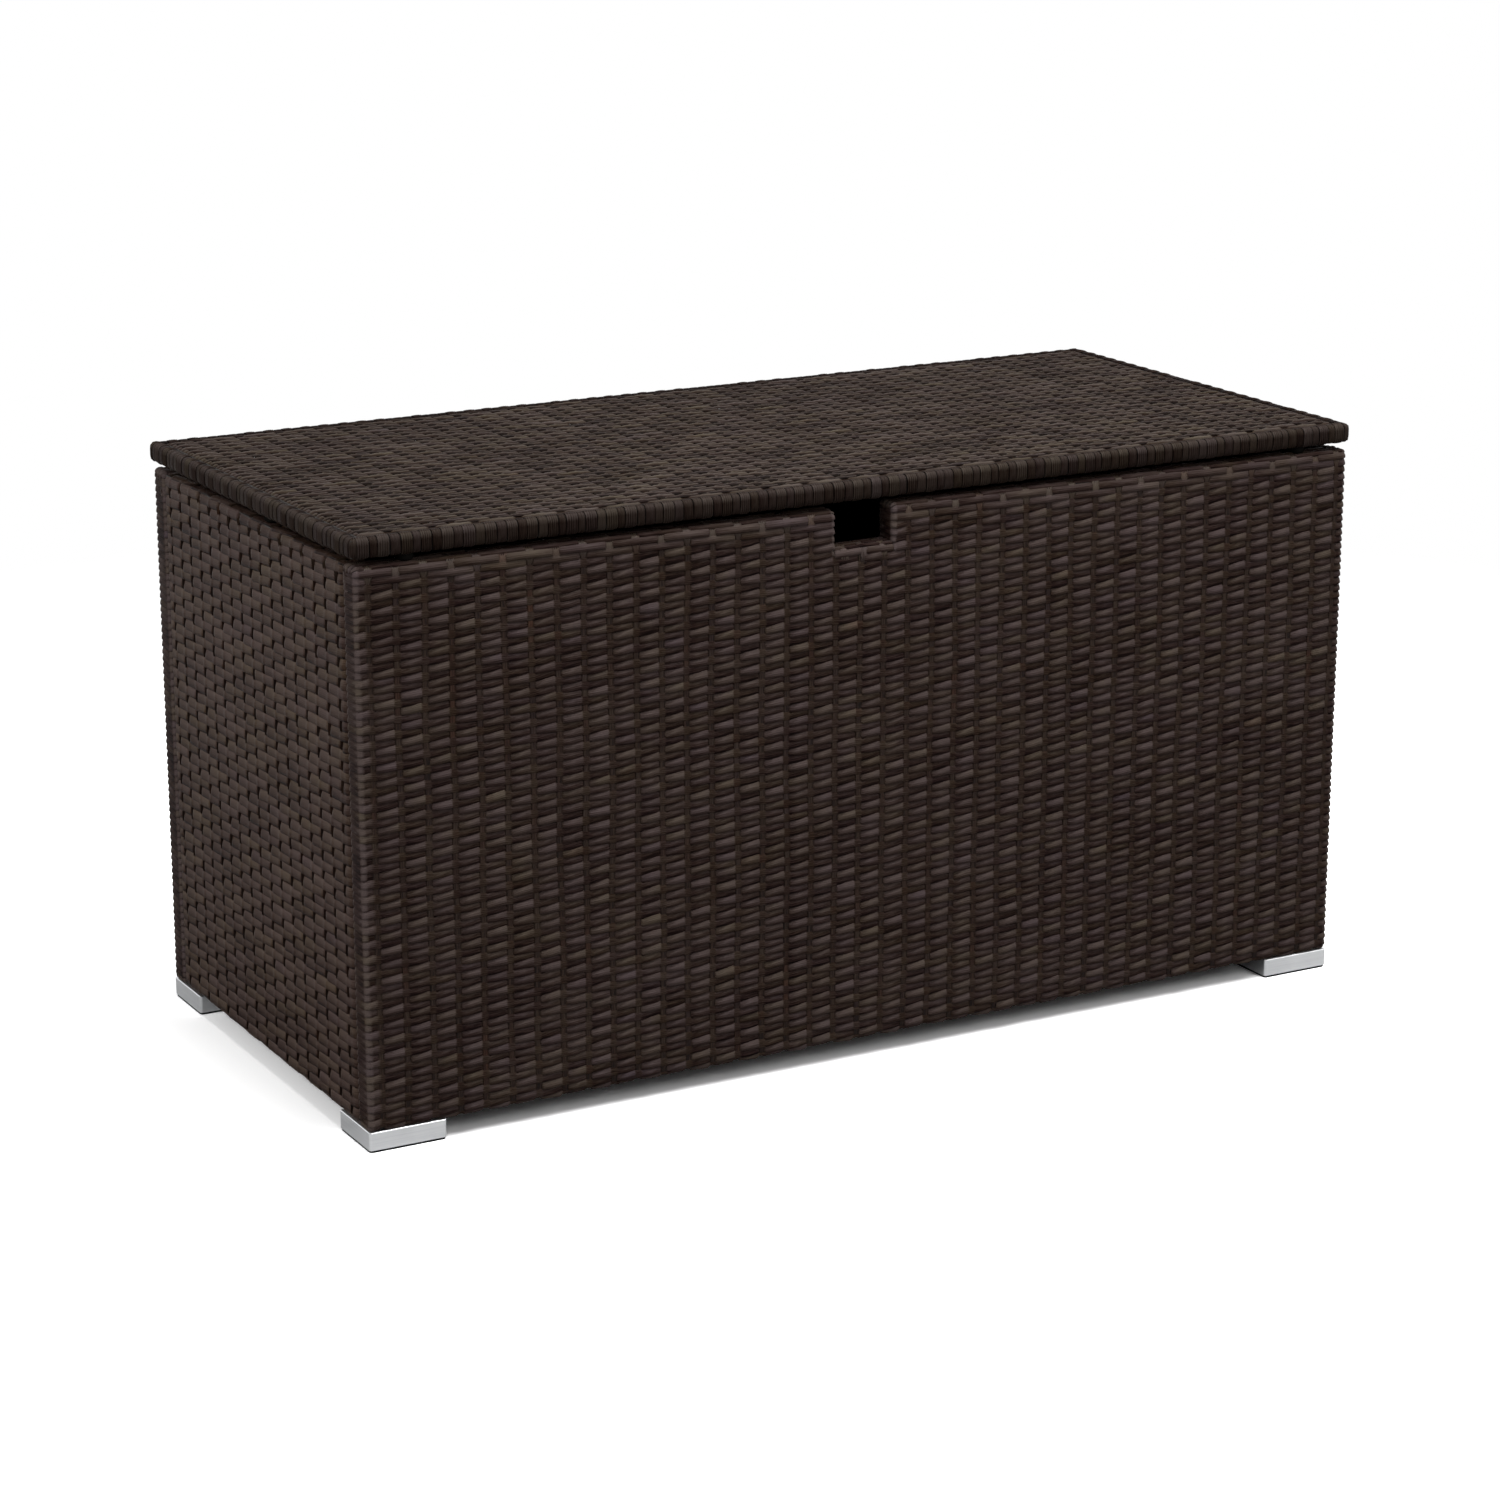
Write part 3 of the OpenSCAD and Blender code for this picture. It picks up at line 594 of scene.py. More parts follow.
def build_stake_tree():
    """Ribbed stakes that run up a slab and carry its rows."""
    net = GeometryNet("Woven Stakes")
    slab = Slab(net)
    given = net.inputs(
        stakes=10, first_stake=0, stake_start=0.0, stake_pitch=0.0285, row_start=0.0, row_pitch=0.008,
        low=-0.3, high=0.3, steps=80, stake_width=0.006, thickness=0.0005, rib_height=0.00015, bow=0.0003,
        rim=0.0, drift=0.0022, seed=1.0, material=None,
    )
    tubes = net.strips(given.stakes, STAKE_RING, given.steps)
    across, outer = net.section(STAKE_RING)
    strip = net.stored("strip") + given.first_stake
    v = net.blend(given.low, given.high, net.stored("step") / given.steps)
    middle = given.stake_start + strip * given.stake_pitch
    middle = middle + stake_drift(net, middle, v, given.seed, given.drift)
    row = (v - given.row_start) / given.row_pitch - 0.5
    wave = net.cosine((row + strip) * math.pi)
    rim_start = slab.height * 0.5 - slab.radius - 10 * MM
    on_rim = net.clamp((v - rim_start) / (4 * MM)) * given.rim
    ribs = net.cosine(across * (math.pi * 4.0)) * given.rib_height * (1.0 + on_rim * 2.0)
    h = given.thickness * 0.5 * (outer * 2.0 - 1.0) + ribs * outer - wave * given.bow + on_rim * (0.4 * MM)
    uneven = 1.0 + net.noise(v / 0.05, strip * 6.1, given.seed + 2.0) * 0.06
    half_width = given.stake_width * 0.5 * uneven * (1.0 + on_rim * 0.5)
    u = middle + across * half_width
    # painted highlight: stakes are lighter where they cross the rim as stitches
    tone = net.noise(v / 0.06, strip * 6.1, given.seed + 7.0) * 0.15 + 0.22 + on_rim * 0.5
    hue = net.noise(v / 0.1, strip * 5.1, given.seed + 17.0) * 0.3 + 0.65
    position = slab.place(u, v, h)
    return net.finish(tubes, position, given.material, tone, hue, across * half_width, v)


def bound_shares(net, seed):
    """Each strip's share of the way round, where it begins, and whether it is ribbed."""
    index = net.result("GeometryNodeInputIndex")
    odd = net.math("MODULO", index, 2.0)
    limits = {"Min": 0.0, "Max": 1.0, "ID": index + seed * 3.0}
    chance = net.result("FunctionNodeRandomValue", limits, 1, data_type="FLOAT")
    share = net.blend(0.75 + chance * 0.35, 1.05 + chance * 0.25, odd)
    ribbed = odd * net.above(chance, 0.25)
    line_sum = net.node("GeometryNodeAccumulateField", {"Value": share}, data_type="FLOAT", domain="POINT")
    total = net.out(line_sum, "Total")
    return {"wide": share / total, "begin": net.out(line_sum, "Trailing") / total, "ribbed": ribbed}


def build_binding_tree():
    """Strips bound over the edge of the lid, side by side all round it."""
    net = GeometryNet("Bound Edge")
    given = net.inputs(
        length=1.2, width=0.55, depth=0.022, corner_radius=0.012, edge_radius=0.008, skin=0.001,
        top_reach=0.012, under_reach=0.02, strips=300, steps=16, seed=1.0, material=None,
    )
    skin = given.skin
    sides = {"Width": given.length - skin * 2.0, "Height": given.width - skin * 2.0}
    outline = net.result("GeometryNodeCurvePrimitiveQuadrilateral", sides)
    corners = {"Curve": outline, "Count": CORNER_STEPS, "Radius": given.corner_radius - skin}
    outline = net.result("GeometryNodeFilletCurve", corners, mode="POLY")
    around = net.result("GeometryNodeCurveLength", {"Curve": outline})
    tubes = net.strips(given.strips, BOUND_RING, given.steps, bound_shares(net, given.seed))
    across, outer = net.section(BOUND_RING)
    strip = net.stored("strip")
    wide = net.stored("wide") * around
    ribbed = net.stored("ribbed")
    centre = net.stored("begin") * around + wide * 0.5
    part = net.stored("step") / given.steps

    # round the edge, from the top of the lid to its under side
    radius = given.edge_radius - skin
    slim = given.depth - skin * 2.0
    band = given.under_reach + radius * 2.0
    reach = radius * math.pi + (slim - radius * 2.0) + given.under_reach
    distance = net.blend(radius - given.top_reach, reach, part)
    flat_half = 0.1
    roll = Roll(net, distance + (flat_half - radius), flat_half, radius, slim, band)

    # along the edge, and above the skin
    half_width = wide * 0.5 * (0.95 + net.noise(part * 1.7, strip * 5.3, given.seed) * 0.03)
    lean = net.noise(strip * 2.7, part * 1.2, given.seed + 4.0) * (0.6 * MM)
    place = net.wrap(centre + across * half_width + lean, around, 0.0)
    edge_drop = across * across
    wave = net.cosine(across * (math.pi * 4.6))
    ribs = wave * (0.42 * MM) * ribbed
    end_dip = net.math("POWER", 1.0 - net.clamp(part / 0.16), 2.0) * (1.6 * MM)
    crest = 0.4 * MM + (1.0 - edge_drop * edge_drop) * (0.4 * MM) + ribs + ribbed * (0.3 * MM)
    h = net.blend(-0.6 * MM, crest, outer) - end_dip
    sample = net.node("GeometryNodeSampleCurve", {"Curves": outline, "Length": place}, mode="LENGTH")
    x, y = net.parts(net.out(sample, "Position"))[:2]
    ahead_x, ahead_y = net.parts(net.out(sample, "Tangent"))[:2]
    shift = roll.sideways - flat_half + h * roll.sine
    sunk = roll.inward - h * roll.cosine
    position = net.vector(x + ahead_y * shift, -skin - sunk, y - ahead_x * shift)

    # painted highlights on the crests of the ribs and on the rounded top edge, and painted shade at the
    # strips' inner ends on the lid's top
    shoulder = net.shoulder(roll.past, radius)
    tone = net.noise(strip * 9.7, given.seed, part * 0.5) * 0.4 + 0.33 + wave * ribbed * 0.35
    tone = tone + shoulder * (0.25 + ribbed * (0.8 + wave * 0.6)) - net.clamp(1.0 - part / 0.15) * 0.5
    hue = net.noise(strip * 7.9, given.seed + 6.0, part * 0.5) * 0.2 + 0.55
    return net.finish(tubes, position, given.material, tone, hue, across * half_width, distance)


def weave(name, tree, values, matrix):
    """Runs a node tree and returns its plain mesh as an object, put in place by matrix."""
    mesh = bpy.data.meshes.new(name)
    maker = bpy.data.objects.new(name, mesh)
    bpy.context.scene.collection.objects.link(maker)
    modifier = maker.modifiers.new("Make", "NODES")
    modifier.node_group = tree
    sockets = {s.name: s.identifier for s in tree.interface.items_tree if s.in_out == "INPUT"}
    for key, value in values.items():
        modifier[sockets[label(key)]] = value
    bpy.context.view_layer.update()
    finished = maker.evaluated_get(bpy.context.evaluated_depsgraph_get())
    made = bpy.data.meshes.new_from_object(finished)
    maker.modifiers.remove(modifier)
    made.transform(matrix)
    if enclosed(made) < 0:
        made.flip_normals()
    for mark in ("ring", "step", "strip", "wide", "begin", "ribbed"):
        if mark in made.attributes:
            made.attributes.remove(made.attributes[mark])
    made.name = name
    maker.data = made
    bpy.data.meshes.remove(mesh)
    return maker


def enclosed(mesh):
    """Signed volume inside a mesh."""
    mesh.calc_loop_triangles()
    points = np.empty(len(mesh.vertices) * 3)
    mesh.vertices.foreach_get("co", points)
    points = points.reshape(-1, 3)
    triangles = np.empty(len(mesh.loop_triangles) * 3, dtype=np.int64)
    mesh.loop_triangles.foreach_get("vertices", triangles)
    a, b, c = points[triangles.reshape(-1, 3)].transpose(1, 0, 2)
    return float(np.einsum("ij,ij->i", a, np.cross(b, c)).sum()) / 6.0


# ------------------------------------------------------------------ finishes


def new_material(name):
    material = bpy.data.materials.new(name)
    material.use_nodes = True
    net = Net(material.node_tree)
    shader = material.node_tree.nodes["Principled BSDF"]
    return material, net, shader


def ramp(net, factor, stops):
    """A colour that runs through the stops, each a place and a colour."""
    made = net.node("ShaderNodeValToRGB", {"Fac": factor})
    while len(made.color_ramp.elements) < len(stops):
        made.color_ramp.elements.new(0.5)
    for element, (place, shade) in zip(made.color_ramp.elements, stops):
        element.position = place
        element.color = (*shade, 1.0)
    return net.out(made, "Color")


def shaded(base, *factors):
    """A colour with its red, green and blue each multiplied."""
    return tuple(channel * factor for channel, factor in zip(base, factors))


def strip_material(name, base, roughness, gloss):
    """Flat extruded strip with fine ribs, streaks, and a tone and tint that wander from place to place; the
    tone also carries painted highlights and shade.
    """
    material, net, shader = new_material(name)
    tone, hue, across, along = [
        net.result("ShaderNodeAttribute", None, "Fac", attribute_name=mark)
        for mark in ("tone", "hue", "across", "along")
    ]
    tint = ramp(net, hue, [
        (0.12, shaded(base, 0.88, 0.9, 1.25)),
        (0.34, shaded(base, 0.97, 0.96, 1.06)),
        (0.5, base),
        (0.66, shaded(base, 1.04, 1.08, 0.9)),
        (0.78, shaded(base, 1.2, 1.06, 0.9)),
        (0.95, shaded(base, 1.9, 1.3, 0.8)),
    ])
    streaks = net.grain(net.vector(along * 60.0, across * 1700.0, tone * 3.0), 1.0, 3.0)
    light = net.clamp(tone * 1.3 + (streaks - 0.5) * 1.5, 0.0, 1.6) * 1.15 + 0.12
    split = net.node("ShaderNodeSeparateColor", {"Color": tint})
    # bright places, painted highlights among them, turn paler as a reflection would: red keeps its pace, and
    # green and blue gain on it
    channels = {
        i: net.out(split, i) * net.most(light + (light - 0.9) * paler, light * 0.75)
        for i, paler in enumerate((0.0, 0.20, 0.30))
    }
    rib_pitch = 1.9 * MM
    ribs = net.sine(across * (2 * math.pi / rib_pitch))
    net.fill(shader, {
        "Base Color": net.result("ShaderNodeCombineColor", channels),
        "Roughness": roughness + (streaks - 0.5) * 0.3,
        "Specular IOR Level": gloss,
        "Normal": net.bump(ribs * 0.5 + streaks * 1.6, 0.45, 0.4 * MM),
    })
    return material


def metal_material(name, base, roughness, direction, bump=0.1):
    """Brushed or cast metal with fine lines along one direction."""
    material, net, shader = new_material(name)
    place = net.result("ShaderNodeTexCoord", None, "Object")
    stretch = net.result("ShaderNodeMapping", {"Vector": place, "Scale": direction})
    lines = net.grain(stretch, 1.0, 4.0, 0.6)
    cloud = net.grain(place, 28.0, 3.0)
    dull, bright = shaded(base, 0.9, 0.9, 0.91), shaded(base, 1.05, 1.05, 1.05)
    tint = ramp(net, net.clamp(lines * 0.7 + cloud * 0.3), [(0.3, dull), (0.7, bright)])
    rough = net.clamp(roughness + (lines - 0.5) * 0.25 + (cloud - 0.5) * 0.15, 0.05, 1.0)
    normal = net.bump(lines, bump, 0.3 * MM)
    net.fill(shader, {"Base Color": tint, "Roughness": rough, "Normal": normal, "Metallic": 1.0})
    return material


def coated_material(name, base, roughness, gloss=0.15, scale=900.0, bump=0.25):
    """Powder coat, moulded rubber or plastic with a fine grain."""
    material, net, shader = new_material(name)
    place = net.result("ShaderNodeTexCoord", None, "Object")
    cloud = net.grain(place, 14.0, 4.0)
    dark, light = shaded(base, 0.8, 0.8, 0.8), shaded(base, 1.2, 1.2, 1.2)
    net.fill(shader, {
        "Base Color": ramp(net, cloud, [(0.3, dark), (0.7, light)]),
        "Roughness": net.clamp(roughness + (cloud - 0.5) * 0.3, 0.05, 1.0),
        "Specular IOR Level": gloss,
        "Normal": net.bump(net.grain(place, scale, 2.0), bump, 0.4 * MM),
    })
    return material


def finish(name, make, base, *values, **more):
    """The named material, made once."""
    return bpy.data.materials.get(name) or make(name, tuple(base), *values, **more)


def woven_finishes(name, base, strip_look, stake_look, stake_shade=1.0):
    """A panel's strip and its stake. Each look is a roughness and a gloss. The stake takes the strip's
    colour, darkened by a factor that paints the shade of its recesses.
    """
    strip = finish(name + " Strip", strip_material, base, *strip_look)
    stake = finish(name + " Stake", strip_material, shaded(base, *[stake_shade] * 3), *stake_look)
    return strip, stake


def wall_finishes(context):
    """Strip and stake of the front wall, the back wall and the floor."""
    return woven_finishes("Wall", context.scene.chest_finish.strip, (0.4, 0.012), (0.38, 0.09))


def dress(start, material):
    """Gives a material to every CAD node whose name starts like this."""
    for name, node in frame["nodes"].items():
        if name.startswith(start):
            node.data.materials.clear()
            node.data.materials.append(material)


# ------------------------------------------------------------------ woven panels


def placed(x, y, z, turn=0.0, axis="Z"):
    return Matrix.Translation((x, y, z)) @ Matrix.Rotation(turn, 4, axis)


def settle(piece, body, node):
    """Lets a woven piece stand for a CAD node and ride on its body."""
    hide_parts(node)
    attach(piece, body)


class WovenPanel:
    """One woven slab: the node it stands for, its place, and what its rows and stakes share."""

    def __init__(
        self, node, place, settings, finishes, width, height, seed, depth=WALL_DEPTH, band=WALL_DEPTH,
    ):
        self.node = node
        self.place = place
        self.strip, self.stake = finishes
        self.body, self.slot = PANEL_SLOTS.get(node, ("chest", "woven_walls"))
        self.sizes = {key: getattr(settings, key) for key in WEAVE_SIZES}
        self.stake_count = round(width / settings.stake_pitch)
        self.values = dict(
            left=-width / 2, right=width / 2, height=height, depth=depth, band=band, seed=seed,
            edge_radius=WALL_RADIUS, skin=WALL_SKIN, row_pitch=settings.row_pitch,
            stake_pitch=settings.stake_pitch, stake_start=(settings.stake_pitch - width) / 2,
        )

    def reach(self, parts):
        """Unrolled distance from the middle to a place round the edge: arc, edge, arc, back and arc."""
        bend = WALL_RADIUS - WALL_SKIN
        arc = bend * QUARTER_TURN
        edge = self.values["depth"] - 2 * WALL_SKIN - 2 * bend
        back = self.values["band"] - 2 * WALL_SKIN - 2 * bend
        return self.values["height"] / 2 - WALL_SKIN - bend + sum([arc, edge, arc, back, arc][:parts])

    def lay(self, name, tree_name, build, values):
        tree = bpy.data.node_groups.get(tree_name) or build()
        settle(weave(name, tree, values, self.place), self.body, self.node)

    def rows(self, name, first, count, **look):
        """Weaves some of the rows. The look holds inputs of the tree and may narrow the panel."""
        values = {**self.sizes, **self.values, "steps_per_stake": 6.0, **look}
        values.update(material=self.strip, rows=count, first_row=first)
        zero = values["stake_start"]
        step = values["stake_pitch"] / values["steps_per_stake"]
        face_start = zero + math.ceil((values["left"] + WALL_RADIUS - zero) / step) * step
        values["face_start"] = face_start
        values["face_steps"] = math.floor((values["right"] - WALL_RADIUS - face_start) / step)
        self.lay(name, "Woven Rows", build_weft_tree, values)

    def all_rows(self, names, count, **look):
        """Shares the rows out over pieces of like size."""
        cuts = [count * i // len(names) for i in range(len(names) + 1)]
        for name, first, end in zip(names, cuts, cuts[1:]):
            self.rows(name, first, end - first, **look)

    def stakes(self, name, first, count, low, high, **look):
        """Stands some of the stakes behind the rows, from low to high."""
        steps = max(6, round((high - low) / self.values["row_pitch"]))
        values = dict(self.values, stakes=count, first_stake=first, low=low, high=high, steps=steps, **look)
        self.lay(name, "Woven Stakes", build_stake_tree, dict(values, material=self.stake))

    def start_wall(self):
        """Starts a wall's rows behind its foot. Returns their number, that start and the rim's end."""
        start, top = -self.reach(3), self.reach(5)
        self.values["row_start"] = start
        return math.ceil((top - start) / self.values["row_pitch"]), start, top

    def whole_wall(self, row_names, stake_name, stake_width, **look):
        """Weaves a wall that has no notch."""
        rows, start, top = self.start_wall()
        self.all_rows(row_names, rows, **look)
        self.stakes(stake_name, 0, self.stake_count, start, top, rim=1.0, stake_width=stake_width)

    def flat_panel(self, row_names, stake_name, parts, stake_look, **look):
        """Weaves the floor or the lid, with its rows centred on it."""
        reach = self.reach(parts)
        rows = round(2 * reach / self.values["row_pitch"])
        self.values["row_start"] = -rows * self.values["row_pitch"] / 2
        self.all_rows(row_names, rows, **look)
        self.stakes(stake_name, 0, self.stake_count, -reach, reach, **stake_look)


# Body and material slot of the panels that aren't walls
PANEL_SLOTS = {"floor_weave": ("chest", "woven_floor"), "lid_weave": ("lid", "woven_lid")}
WALL_LOOK = dict(
    lens=1.0, slant=1.3 * MM, rim_floats=1.0, bead=1.0, variety=0.22, contrast=0.2, glint=0.6,
    climb=1.1 * MM, facing=0.5,
)
BACK_LOOK = dict(WALL_LOOK, lens=0.2, strip_width=9.4 * MM, over=0.3 * MM, under=0.45 * MM)
END_LOOK = dict(
    floats=1.0, steps_per_stake=8.0, shingle=0.5, contrast=0.32, variety=0.25, hook=0.9,
    hold=0.06, release=0.115,
)
SILL_LOOK = dict(wrap=4 * MM, rim_wrap=4 * MM, wrap_steps=2, floats=1.0, brightness=0.25)
FLOOR_LOOK = dict(wrap=45 * MM, wrap_steps=10)
LID_LOOK = dict(
    wrap=6 * MM, wrap_steps=4, rim_wrap=6 * MM, drift=1.2 * MM, shingle=0.0, slant=0.0, floats=1.0,
    crowding=0.045, second_crowding=0.0, hold=0.12, release=0.3, contrast=0.45, variety=0.25,
    glint=0.4, hook=0.9,
)
LID_STAKE_LOOK = dict(drift=LID_LOOK["drift"], stake_width=LID_STAKE_WIDTH)


class CHEST_OT_front_wall(bpy.types.Operator):
    """Weaves the front wall round its finger notch"""

    bl_idname = "chest.front_wall"
    bl_label = "Weave Front Wall"

    def execute(self, context):
        settings = context.scene.chest_walls
        low, size = box_of("front_weave")
        place = placed(0, low.y, low.z)
        finishes = wall_finishes(context)
        wall = WovenPanel("front_weave", place, settings, finishes, size.x, size.z, FRONT_SEED)
        rows, start, top = wall.start_wall()
        sill = size.z - NOTCH_DEPTH
        sill_level = sill - size.z / 2
        below = int((sill_level - ROW_GAP_BELOW - start) // settings.row_pitch)
        wall.all_rows(("front_rows_low", "front_rows_high"), below, **WALL_LOOK)
        wall.rows("front_rows_left_of_notch", below, rows - below, right=NOTCH_LEFT, **WALL_LOOK)
        wall.rows("front_rows_right_of_notch", below, rows - below, left=NOTCH_RIGHT, **WALL_LOOK)

        stakes = [wall.values["stake_start"] + i * settings.stake_pitch for i in range(wall.stake_count)]
        before = sum(x < NOTCH_LEFT - STAKE_GAP_LEFT for x in stakes)
        beyond = sum(x <= NOTCH_RIGHT + STAKE_GAP_RIGHT for x in stakes)
        wall.stakes("front_stakes_left", 0, before, start, top, rim=1.0)
        wall.stakes("front_stakes_right", beyond, len(stakes) - beyond, start, top, rim=1.0)
        stakes_end = sill_level - STAKE_GAP_BELOW
        wall.stakes("front_stakes_below_notch", before, beyond - before, start, stakes_end)

        ledge = WovenPanel("front_weave", place, settings, finishes, size.x, sill, FRONT_SEED)
        ledge_start = ledge.reach(0) - SILL_ROW_OVERLAP
        ledge.values.update(
            left=NOTCH_LEFT - SILL_OVERLAP_LEFT, right=NOTCH_RIGHT + SILL_OVERLAP_RIGHT,
            row_start=ledge_start, stake_start=NOTCH_LEFT + SILL_STAKE_INSET, stake_pitch=SILL_STAKE_PITCH,
        )
        ledge.rows("notch_sill_rows", 0, SILL_ROWS, **SILL_LOOK)
        stakes_start = ledge_start - SILL_STAKE_TAIL
        ledge.stakes("notch_sill_stakes", 0, SILL_STAKES, stakes_start, ledge.reach(4), rim=1.0)
        return {"FINISHED"}


class CHEST_OT_back_wall(bpy.types.Operator):
    """Weaves the back wall"""

    bl_idname = "chest.back_wall"
    bl_label = "Weave Back Wall"

    def execute(self, context):
        low, size = box_of("back_weave")
        place = placed(0, low.y + size.y, low.z, math.pi)
        finishes = wall_finishes(context)
        wall = WovenPanel(
            "back_weave", place, context.scene.chest_walls, finishes, size.x, size.z, BACK_SEED,
        )
        wall.whole_wall(("back_rows_low", "back_rows_high"), "back_stakes", BACK_STAKE_WIDTH, **BACK_LOOK)
        return {"FINISHED"}


class CHEST_OT_end_walls(bpy.types.Operator):
    """Weaves the two end walls"""

    bl_idname = "chest.end_walls"
    bl_label = "Weave End Walls"

    def execute(self, context):
        settings = context.scene.chest_ends
        base = context.scene.chest_finish.end_strip
        # the end stakes take the strip's colour at 0.3, painted shade of their recesses
        finishes = woven_finishes("End", base, (0.5, 0.04), (0.6, 0.01), 0.3)
        for side, sign in (("left", -1), ("right", 1)):
            node = side + "_weave"
            low, size = box_of(node)
            face = low.x if sign < 0 else low.x + size.x
            place = placed(face, 0, low.z, sign * QUARTER_TURN)
            wall = WovenPanel(node, place, settings, finishes, size.y, size.z, END_SEEDS[side])
            wall.values["stake_start"] = settings.stake_pitch * END_STAKE_OFFSET - size.y / 2
            slant = -END_SLANT * sign
            wall.whole_wall((side + "_rows",), side + "_stakes", END_STAKE_WIDTH, slant=slant, **END_LOOK)
        return {"FINISHED"}


class CHEST_OT_floor_panel(bpy.types.Operator):
    """Weaves the floor"""

    bl_idname = "chest.floor_panel"
    bl_label = "Weave Floor"

    def execute(self, context):
        low, size = box_of("floor_weave")
        place = placed(0, low.y, low.z + size.z, -QUARTER_TURN, "X")
        finishes = wall_finishes(context)
        floor = WovenPanel(
            "floor_weave", place, context.scene.chest_ends, finishes, size.x, size.y, FLOOR_SEED,
            depth=size.z, band=FLOOR_BAND,
        )
        floor.flat_panel(("floor_rows",), "floor_stakes", 4, {}, **FLOOR_LOOK)
        return {"FINISHED"}


class CHEST_OT_lid_top(bpy.types.Operator):
    """Weaves the top of the lid"""

    bl_idname = "chest.lid_top"
    bl_label = "Weave Lid Top"

    def execute(self, context):
        low, size = box_of("lid_weave")
        place = placed(0, low.y + LID_INSET, low.z + size.z, -QUARTER_TURN, "X")
        base = context.scene.chest_finish.lid_strip
        # the lid stakes take the strip's colour at 0.35, painted shade of their recesses
        finishes = woven_finishes("Lid", base, (0.5, 0.02), (0.6, 0.01), 0.35)
        lid = WovenPanel(
            "lid_weave", place, context.scene.chest_lid, finishes, size.x - 2 * LID_INSET,
            size.y - 2 * LID_INSET, LID_SEED, depth=LID_DEPTH, band=LID_BAND,
        )
        lid.flat_panel(("lid_rows_front", "lid_rows_back"), "lid_stakes", 1, LID_STAKE_LOOK, **LID_LOOK)
        return {"FINISHED"}


class CHEST_OT_lid_edge(bpy.types.Operator):
    """Binds the edge of the lid"""

    bl_idname = "chest.lid_edge"
    bl_label = "Bind Lid Edge"

    def execute(self, context):
        low, size = box_of("lid_binding")
        pairs = round((size.x + size.y) / context.scene.chest_lid.bound_width)
        strip = finish("Edge Strip", strip_material, context.scene.chest_finish.edge_strip, 0.4, 0.01)
        values = dict(
            length=size.x, width=size.y, depth=size.z, skin=WALL_SKIN, corner_radius=6.5 * MM,
            edge_radius=6.2 * MM, top_reach=12.5 * MM, under_reach=18 * MM, strips=pairs * 2, steps=15,
            seed=EDGE_SEED, material=strip,
        )
        place = placed(0, 0, low.z + size.z, QUARTER_TURN, "X")
        piece = weave("lid_edge_strips", build_binding_tree(), values, place)
        settle(piece, "lid", "lid_binding")
        return {"FINISHED"}


# ------------------------------------------------------------------ fittings


class CHEST_OT_frames(bpy.types.Operator):
    """Finishes the frame tubes"""

    bl_idname = "chest.frames"
    bl_label = "Finish Frames"

    def execute(self, context):
        coat = finish("Frame Coat", coated_material, context.scene.chest_finish.frame, 0.5)
        for panel in ("front", "back", "left", "right", "floor", "lid"):
            dress(panel + "_frame", coat)
        return {"FINISHED"}


class CHEST_OT_feet(bpy.types.Operator):
    """Finishes the feet and their pads"""

    bl_idname = "chest.feet"
    bl_label = "Finish Feet"

    def execute(self, context):
        base = context.scene.chest_finish.foot
        metal = finish("Foot Metal", metal_material, base, roughness=0.38, direction=(12.0, 12.0, 900.0))
        rubber = finish("Pad Rubber", coated_material, (0.012, 0.012, 0.0125), roughness=0.7, gloss=0.1)
        for place in ("front", "back"):
            dress("foot_" + place, metal)
        dress("pad_", rubber)
        return {"FINISHED"}


class CHEST_OT_fittings(bpy.types.Operator):
    """Finishes the hinges, stays, screws and bumpers"""

    bl_idname = "chest.fittings"
    bl_label = "Finish Fittings"

    def execute(self, context):
        even, across, along = (400.0, 400.0, 400.0), (20.0, 700.0, 700.0), (900.0, 900.0, 30.0)
        zinc = finish("Zinc", metal_material, (0.6, 0.6, 0.6), roughness=0.34, direction=even)
        brushed = finish("Hinge Steel", metal_material, (0.62, 0.62, 0.63), roughness=0.3, direction=across)
        rubber = finish("Bumper Rubber", coated_material, (0.006, 0.0055, 0.005), roughness=0.9, gloss=0.0)
        black = finish(
            "Stay Enamel", coated_material, (0.02, 0.02, 0.021), roughness=0.32, gloss=0.4,
            scale=300.0, bump=0.05,
        )
        chrome = finish(
            "Stay Chrome", metal_material, (0.8, 0.8, 0.82), roughness=0.1, direction=along, bump=0.02,
        )
        # the hinge screws come after the leaves, because their names start alike
        for start, material in (
            ("hinge_", brushed), ("hinge_base_screws", zinc), ("hinge_lid_screws", zinc),
            ("bumper", rubber),
            ("stay_cylinder", black), ("stay_end", black), ("stay_rod", chrome), ("stay_guide", zinc),
            ("stay_base", zinc), ("stay_lid", zinc), ("wall_bolts", black), ("rivet_nuts", black),
            ("foot_screws", zinc),
        ):
            dress(start, material)
        return {"FINISHED"}


# ------------------------------------------------------------------ stage


SENSOR_WIDTH = 36.0
LAMP_AIM = Vector((0, 0, 0.3))
FLOOR_RADIUS = 6.0
FLOOR_SIDES = 96
FADE_START = 1.1
FADE_WIDTH = 1.3
FLOOR_SHADE = 0.4
FLOOR_SHADE_SEEN = 1.5
SKY_STRENGTH = 0.3
# Each lamp's name, its setting, where it hangs and how wide it is
LAMPS = (
    ("Top Lamp", "top_lamp", (0.3, -0.6, 3.0), 2.6),
    ("Front Lamp", "front_lamp", (1.4, -3.0, 2.1), 1.3),
    ("Left Lamp", "left_lamp", (-3.4, -0.6, 2.0), 2.2),
)


